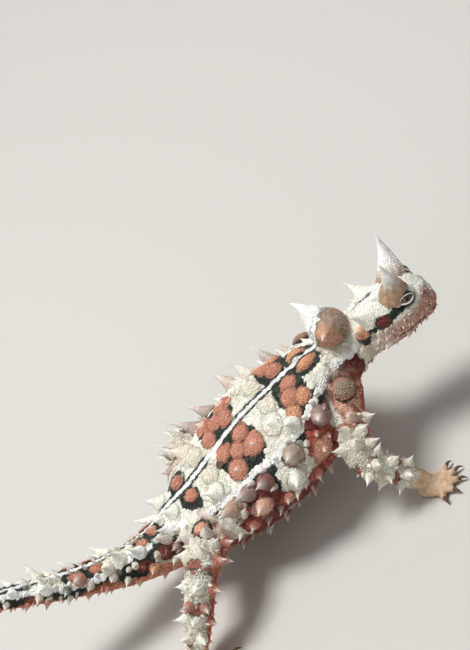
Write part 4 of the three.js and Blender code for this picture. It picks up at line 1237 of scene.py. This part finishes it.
# A mirrored pair of horns, left before right
def makeHorns(name, build):
    pieces = []
    for label, side in sideOf.items():
        grid, share = hornShape(build, side)
        vertices, quads, fans = closeTube(grid)
        piece = makePiece(f"{name}_{label}", vertices, [quads, fans])
        s = np.concatenate([np.repeat(share, grid.shape[1]), [0, 1]])
        paint(piece.data, hornColours(vertices, s, side, build["onHead"]))
        pieces.append(piece)
    return pieces


# Scales that climb the lower part of a pair of horns, from every second ring of the horn's own grid
def hornScales(build, rings=42):
    found = []
    for side in sideOf.values():
        grid, share = hornShape(build, side, rings, 44)
        for ring in range(0, int(rings * build["scaledTo"]), 2):
            chosen = grid[ring, ring // 2 % 2 :: 1 if share[ring] < 0.2 else 2]
            middle = grid[ring].mean(0)
            out = unit(chosen - middle)
            rise = unit(grid[ring + 1].mean(0) - middle)
            colours = hornColours(chosen, np.full(len(chosen), share[ring]), side, build["onHead"])
            found.append([chosen, unit(out + 0.5 * rise), colours])
    at, normal, colours = (np.concatenate(k) for k in zip(*found))
    _, t, phi, height = headPlace(at)
    keep = (height > -0.15) & (trunkPlace(at)[3] > -0.15)
    return [v[keep] for v in (at, normal, np.full(len(at), 1), t, phi, colours)]


# Scales over the knob, at directions that spread evenly by the golden angle
def knobScales(count=900):
    k = np.arange(count) + 0.5
    z = 1 - 2 * k / count
    a = k * np.pi * (3 - 5 ** 0.5)
    way = np.stack([np.sqrt(1 - z * z) * np.cos(a), np.sqrt(1 - z * z) * np.sin(a), z], -1)
    at, normal = knob["centre"] + way * knob["half"], unit(way / knob["half"])
    _, t, phi, height = headPlace(at)
    keep = (height > -0.1) & (trunkPlace(at)[3] > -0.1)
    return [v[keep] for v in (at, normal, np.full(count, 1), t, phi, knobColours(at))]


horns = makeHorns("brow_horn", hornBuild)
knobHorns = makeHorns("nape_spine", knobSpines)
hornSites = joinSites(hornScales(hornBuild), hornScales(knobSpines), knobScales())
coat.append(growScales("horn_scales", hornSites, scaleBuild["horn"]))

# Eyes and lids
eyeBuild = {
    "pupil": 17,
    "iris": 40,
    "look": [0.28, 0.93, 0.22],
    "ground": (74, 44, 22),
    "rays": (170, 120, 56),
    "black": (10, 8, 7),
    "rim": (22, 17, 14),
}


# Centre of an eye and its line of sight on the turned head
def eyePlace(side):
    centre = turnHead(np.array([head["eye"]]) * [1, side, 1])[0]
    return centre, unit(np.array(eyeBuild["look"]) * [1, side, 1]) @ headSpin.T


# A ball about the eye's centre with its pole on the line of sight, coloured by the angle from that line
def makeEye(label, side, rings=40, sides=48):
    centre, look = eyePlace(side)
    across = unit(np.cross(look, [0, 0, 1.0]))
    over = np.cross(look, across)
    v = np.linspace(0.02, np.pi - 0.02, rings)
    a = turns(sides)
    circle = across * np.cos(a)[:, None] + over * np.sin(a)[:, None]
    radius = head["eyeRadius"] - 0.04 + 0.07 * np.exp(-(v / 0.5) ** 2)
    direction = look * np.cos(v)[:, None, None] + circle * np.sin(v)[:, None, None]
    grid = centre + radius[:, None, None] * direction
    vertices, quads, fans = closeTube(grid)
    piece = makePiece("eyeball_" + label, vertices, [quads[:, ::-1], fans[:, ::-1]])
    angle = np.degrees(np.concatenate([np.repeat(v, sides), [0, np.pi]]))
    streak = 0.5 + 0.5 * np.sin(np.concatenate([np.tile(a, rings), [0, 0]]) * 23)
    iris = mix(toLinear(eyeBuild["ground"]), toLinear(eyeBuild["rays"]), streak * 0.5)
    inPupil = 1 - ramp(angle, eyeBuild["pupil"] - 2, eyeBuild["pupil"] + 2)
    beyond = ramp(angle, eyeBuild["iris"] - 4, eyeBuild["iris"] + 4)
    colour = mix(iris, toLinear(eyeBuild["black"]), inPupil)
    paint(piece.data, mix(colour, toLinear(eyeBuild["rim"]), beyond))
    return piece


lidBuild = {"radius": 2.18, "thickness": 0.34, "opening": 30, "corner": 74, "reach": 78}


# A lid: part of a sphere between its open edge and a far edge, thick at the rim. Up is 1 for the upper lid
def makeLid(label, side, up, columns=42, rows=16):
    centre, look = eyePlace(side)
    ahead = unit(np.cross([0, 0, 1.0], look)) * -side
    rise = unit(np.cross(look, ahead)) * -side
    h = np.radians(np.linspace(-lidBuild["corner"], lidBuild["corner"], columns))
    s = np.linspace(0, 1, rows)
    edge = np.radians(lidBuild["opening"]) * np.cos(h * 90 / lidBuild["corner"]) * (1.0 if up > 0 else 0.8)
    high = edge[:, None] + (np.radians(lidBuild["reach"]) - edge)[:, None] * s
    outer = lidBuild["radius"] + 0.16 * np.exp(-(s / 0.12) ** 2)
    inner = lidBuild["radius"] - lidBuild["thickness"]
    loop = np.concatenate([np.broadcast_to(outer, high.shape), np.full(high.shape, inner)], 1)
    angle = np.concatenate([high, high[:, ::-1]], 1) * up
    forward = (np.cos(angle) * np.cos(h)[:, None])[..., None]
    sideways = (np.cos(angle) * np.sin(h)[:, None])[..., None]
    direction = look * forward + ahead * sideways + rise * np.sin(angle)[..., None]
    vertices, quads, fans = closeTube(centre + direction * loop[..., None])
    piece = makePiece(f"lid_{'upper' if up > 0 else 'lower'}_{label}", vertices, [quads, fans])
    near = np.concatenate([np.tile(np.concatenate([s, s[::-1]]), columns), [0, 0]])
    paint(piece.data, mix(tone["white"] * 0.9, tone["dark"], ramp(near, 0.06, 0.14)))
    return piece


eyes = {label: makeEye(label, side) for label, side in sideOf.items()}
lids = [makeLid(label, side, up) for label, side in sideOf.items() for up in (1, -1)]
print("eyes and lids made")

# Claws
clawBuild = {"radius": 0.52, "length": 2.3, "sides": 10, "rings": 12, "colour": (92, 66, 46)}


# A claw: a curve that runs ahead and bends down, its width falling as (1 - share) to a point
def clawShape(start, way, length):
    s = np.linspace(0, 1, clawBuild["rings"])
    base = start + way * length * 0.74
    arch = np.array([0, 0, 1.0]) * (0.55 * np.sin(s * 2.4) - 1.2 * s ** 2)[:, None]
    line = base + way * (s * clawBuild["length"] * 0.95)[:, None] + arch
    line[:, 2] = np.maximum(line[:, 2], 0.12)
    return sweptTube(line, clawBuild["radius"] * (1 - s) ** 0.8 + 0.03, clawBuild["sides"])


clawShapes = [clawShape(*toe) for limb in limbs.values() for toe in footOf(limb)[3]]
clawVertices, clawFaces = joinShapes(clawShapes)
claws = makePiece("claws", clawVertices, clawFaces)
paint(claws.data, np.broadcast_to(toLinear(clawBuild["colour"]), clawVertices.shape))


# Materials


# Values of a node's inputs, by the names of the inputs
def setInputs(node, values):
    for name, value in values.items():
        node.inputs[name].default_value = value
    return node


# Nodes of one finish: the markings times a fine mottle, with grain pits per metre and fine noise as bump
def finish(name, roughness, bump, grain, gloss=0.0, subsurface=0.0, mottle=0.22):
    material = bpy.data.materials.new(name)
    material.use_nodes = True
    nodes, link = material.node_tree.nodes, material.node_tree.links.new
    shader = setInputs(nodes["Principled BSDF"], {
        "Roughness": roughness,
        "Coat Weight": gloss,
        "Coat Roughness": 0.05,
        "Specular IOR Level": 0.35,
        "Subsurface Weight": subsurface,
        "Subsurface Radius": (1.0, 0.45, 0.3),
        "Subsurface Scale": 0.0012,
    })
    where = nodes.new("ShaderNodeTexCoord")
    markings = nodes.new("ShaderNodeAttribute")
    markings.attribute_name = "markings"
    cloud = setInputs(nodes.new("ShaderNodeTexNoise"), {"Scale": grain * 0.45, "Detail": 5})
    link(where.outputs["Object"], cloud.inputs["Vector"])
    range01 = {"From Min": 0.3, "From Max": 0.7, "To Min": 1 - mottle, "To Max": 1 + mottle * 0.6}
    shade = setInputs(nodes.new("ShaderNodeMapRange"), range01)
    link(cloud.outputs["Fac"], shade.inputs["Value"])
    tint = nodes.new("ShaderNodeVectorMath")
    tint.operation = "SCALE"
    link(markings.outputs["Color"], tint.inputs[0])
    link(shade.outputs["Result"], tint.inputs["Scale"])
    link(tint.outputs["Vector"], shader.inputs["Base Color"])
    pits = setInputs(nodes.new("ShaderNodeTexVoronoi"), {"Scale": grain})
    link(where.outputs["Object"], pits.inputs["Vector"])
    fine = setInputs(nodes.new("ShaderNodeTexNoise"), {"Scale": grain * 3, "Detail": 3})
    link(where.outputs["Object"], fine.inputs["Vector"])
    total = nodes.new("ShaderNodeMath")
    total.operation = "MULTIPLY_ADD"
    link(fine.outputs["Fac"], total.inputs[0])
    total.inputs[1].default_value = 0.5
    link(pits.outputs["Distance"], total.inputs[2])
    relief = setInputs(nodes.new("ShaderNodeBump"), {"Strength": bump, "Distance": 0.0002})
    link(total.outputs["Value"], relief.inputs["Height"])
    link(relief.outputs["Normal"], shader.inputs["Normal"])
    return material


finishes = {
    "skin_grain": {"roughness": 0.78, "bump": 0.55, "grain": 1700, "subsurface": 0.04},
    "scale_horn": {"roughness": 0.66, "bump": 0.3, "grain": 2600, "subsurface": 0.04, "mottle": 0.2},
    "thorn_keratin": {"roughness": 0.64, "bump": 0.45, "grain": 1500, "subsurface": 0.05, "mottle": 0.26},
    "horn_keratin": {"roughness": 0.6, "bump": 0.5, "grain": 1300, "subsurface": 0.06, "mottle": 0.26},
    "lid_skin": {"roughness": 0.5, "bump": 0.35, "grain": 2600},
    "eye_gloss": {"roughness": 0.12, "bump": 0.0, "grain": 3000, "gloss": 1.0, "mottle": 0.05},
    "claw_horn": {"roughness": 0.35, "bump": 0.2, "grain": 1800, "gloss": 0.2},
}
materials = {name: finish(name, **values) for name, values in finishes.items()}
fleshNodes = [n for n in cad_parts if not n.startswith(("eye_", "horn_"))]


# Every piece rides on the still body and takes a finish
def dress(piece, finishName, slot, *nodes):
    piece.data.materials.clear()
    piece.data.materials.append(materials[finishName])
    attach(piece, "root")
    if nodes:
        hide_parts(*nodes)


dress(skin, "skin_grain", "skin_pale", *fleshNodes)
for piece in coat[:4]:
    dress(piece, "thorn_keratin", "skin_pale")
for piece in coat[4:]:
    dress(piece, "scale_horn", "skin_pale")
for piece, label in zip(horns, sideOf):
    dress(piece, "horn_keratin", "horn", "horn_" + label)
for piece in knobHorns:
    dress(piece, "horn_keratin", "skin_brown")
for label, piece in eyes.items():
    dress(piece, "eye_gloss", "eye", "eye_" + label)
for piece in lids:
    dress(piece, "lid_skin", "skin_pale")
dress(claws, "claw_horn", "claw")
print("materials set")

# Floor, lights and camera
studio = {
    "floor": (206, 203, 197),
    "floorSize": 3.0,
    "lights": {
        "key": {"place": (-0.12, 0.1, 0.8), "size": 0.3, "watts": 6.15},
        "fill": {"place": (-0.6, -0.6, 0.5), "size": 0.8, "watts": 1.5},
        "rim": {"place": (0.1, 0.8, 0.5), "size": 0.6, "watts": 1.05},
    },
    "world": 0.24,
    "worldTint": (0.95, 0.97, 1.0, 1),
}
view = {
    "target": [0, 0, 29],
    "elevation": 39,
    "roll": 37,
    "distance": 600,
    "lens": 130,
    "sensor": 36,
    "spot": (245, 430),
    "frame": (470, 650),
}


# A square sheet under the soles
def makeFloor():
    s = studio["floorSize"] / mm / 2
    corners = np.array([[-s, -s, 0], [s, -s, 0], [s, s, 0], [-s, s, 0]], float)
    floor = makePiece("floor", corners * [1, 1, 0] - origin * [0, 0, 1], [np.array([[0, 1, 2, 3]])], False)
    material = bpy.data.materials.new("floor_paper")
    material.use_nodes = True
    values = {"Base Color": (*toLinear(studio["floor"]), 1), "Roughness": 0.9}
    setInputs(material.node_tree.nodes["Principled BSDF"], values)
    floor.data.materials.append(material)


# The camera: the long axis of the body rises to the right by the roll, and the target falls on its spot
def makeCamera():
    e, roll = np.radians([view["elevation"], view["roll"]])
    back = np.array([0, -np.cos(e), np.sin(e)])
    right, up = np.array([1.0, 0, 0]), np.array([0, np.sin(e), np.cos(e)])
    imageRight = right * np.cos(roll) - up * np.sin(roll)
    imageUp = right * np.sin(roll) + up * np.cos(roll)
    place = np.array(view["target"]) + back * view["distance"]
    width, height = view["frame"]
    focal = view["lens"] / view["sensor"] * height
    across, down = view["spot"][0] - width / 2, view["spot"][1] - height / 2
    forward = unit(-back * focal - imageRight * across + imageUp * down)
    side = unit(np.cross(forward, imageUp))
    turn = Matrix([side, np.cross(side, forward), -forward]).transposed()
    data = bpy.data.cameras.new("camera")
    data.lens, data.sensor_width, data.sensor_fit = view["lens"], view["sensor"], "AUTO"
    data.clip_start, data.clip_end = 0.05, 20
    camera = bpy.data.objects.new("camera", data)
    camera.matrix_world = Matrix.Translation(Vector((place + origin) * mm)) @ turn.to_4x4()
    bpy.context.scene.collection.objects.link(camera)
    bpy.context.scene.camera = camera


# A square soft light that looks at the middle of the body
def softLight(name, place, size, watts):
    data = bpy.data.lights.new(name, "AREA")
    data.energy, data.size = watts, size
    light = bpy.data.objects.new(name, data)
    light.location = place
    light.rotation_mode = "QUATERNION"
    light.rotation_quaternion = (Vector((0, 0, 0.025)) - Vector(place)).to_track_quat("-Z", "Y")
    bpy.context.scene.collection.objects.link(light)


makeFloor()
makeCamera()
for name, light in studio["lights"].items():
    softLight(name, **light)
world = bpy.data.worlds.new("studio")
world.use_nodes = True
setInputs(world.node_tree.nodes["Background"], {"Color": studio["worldTint"], "Strength": studio["world"]})
bpy.context.scene.world = world
bpy.context.scene.view_settings.view_transform = "Standard"
print("studio set")
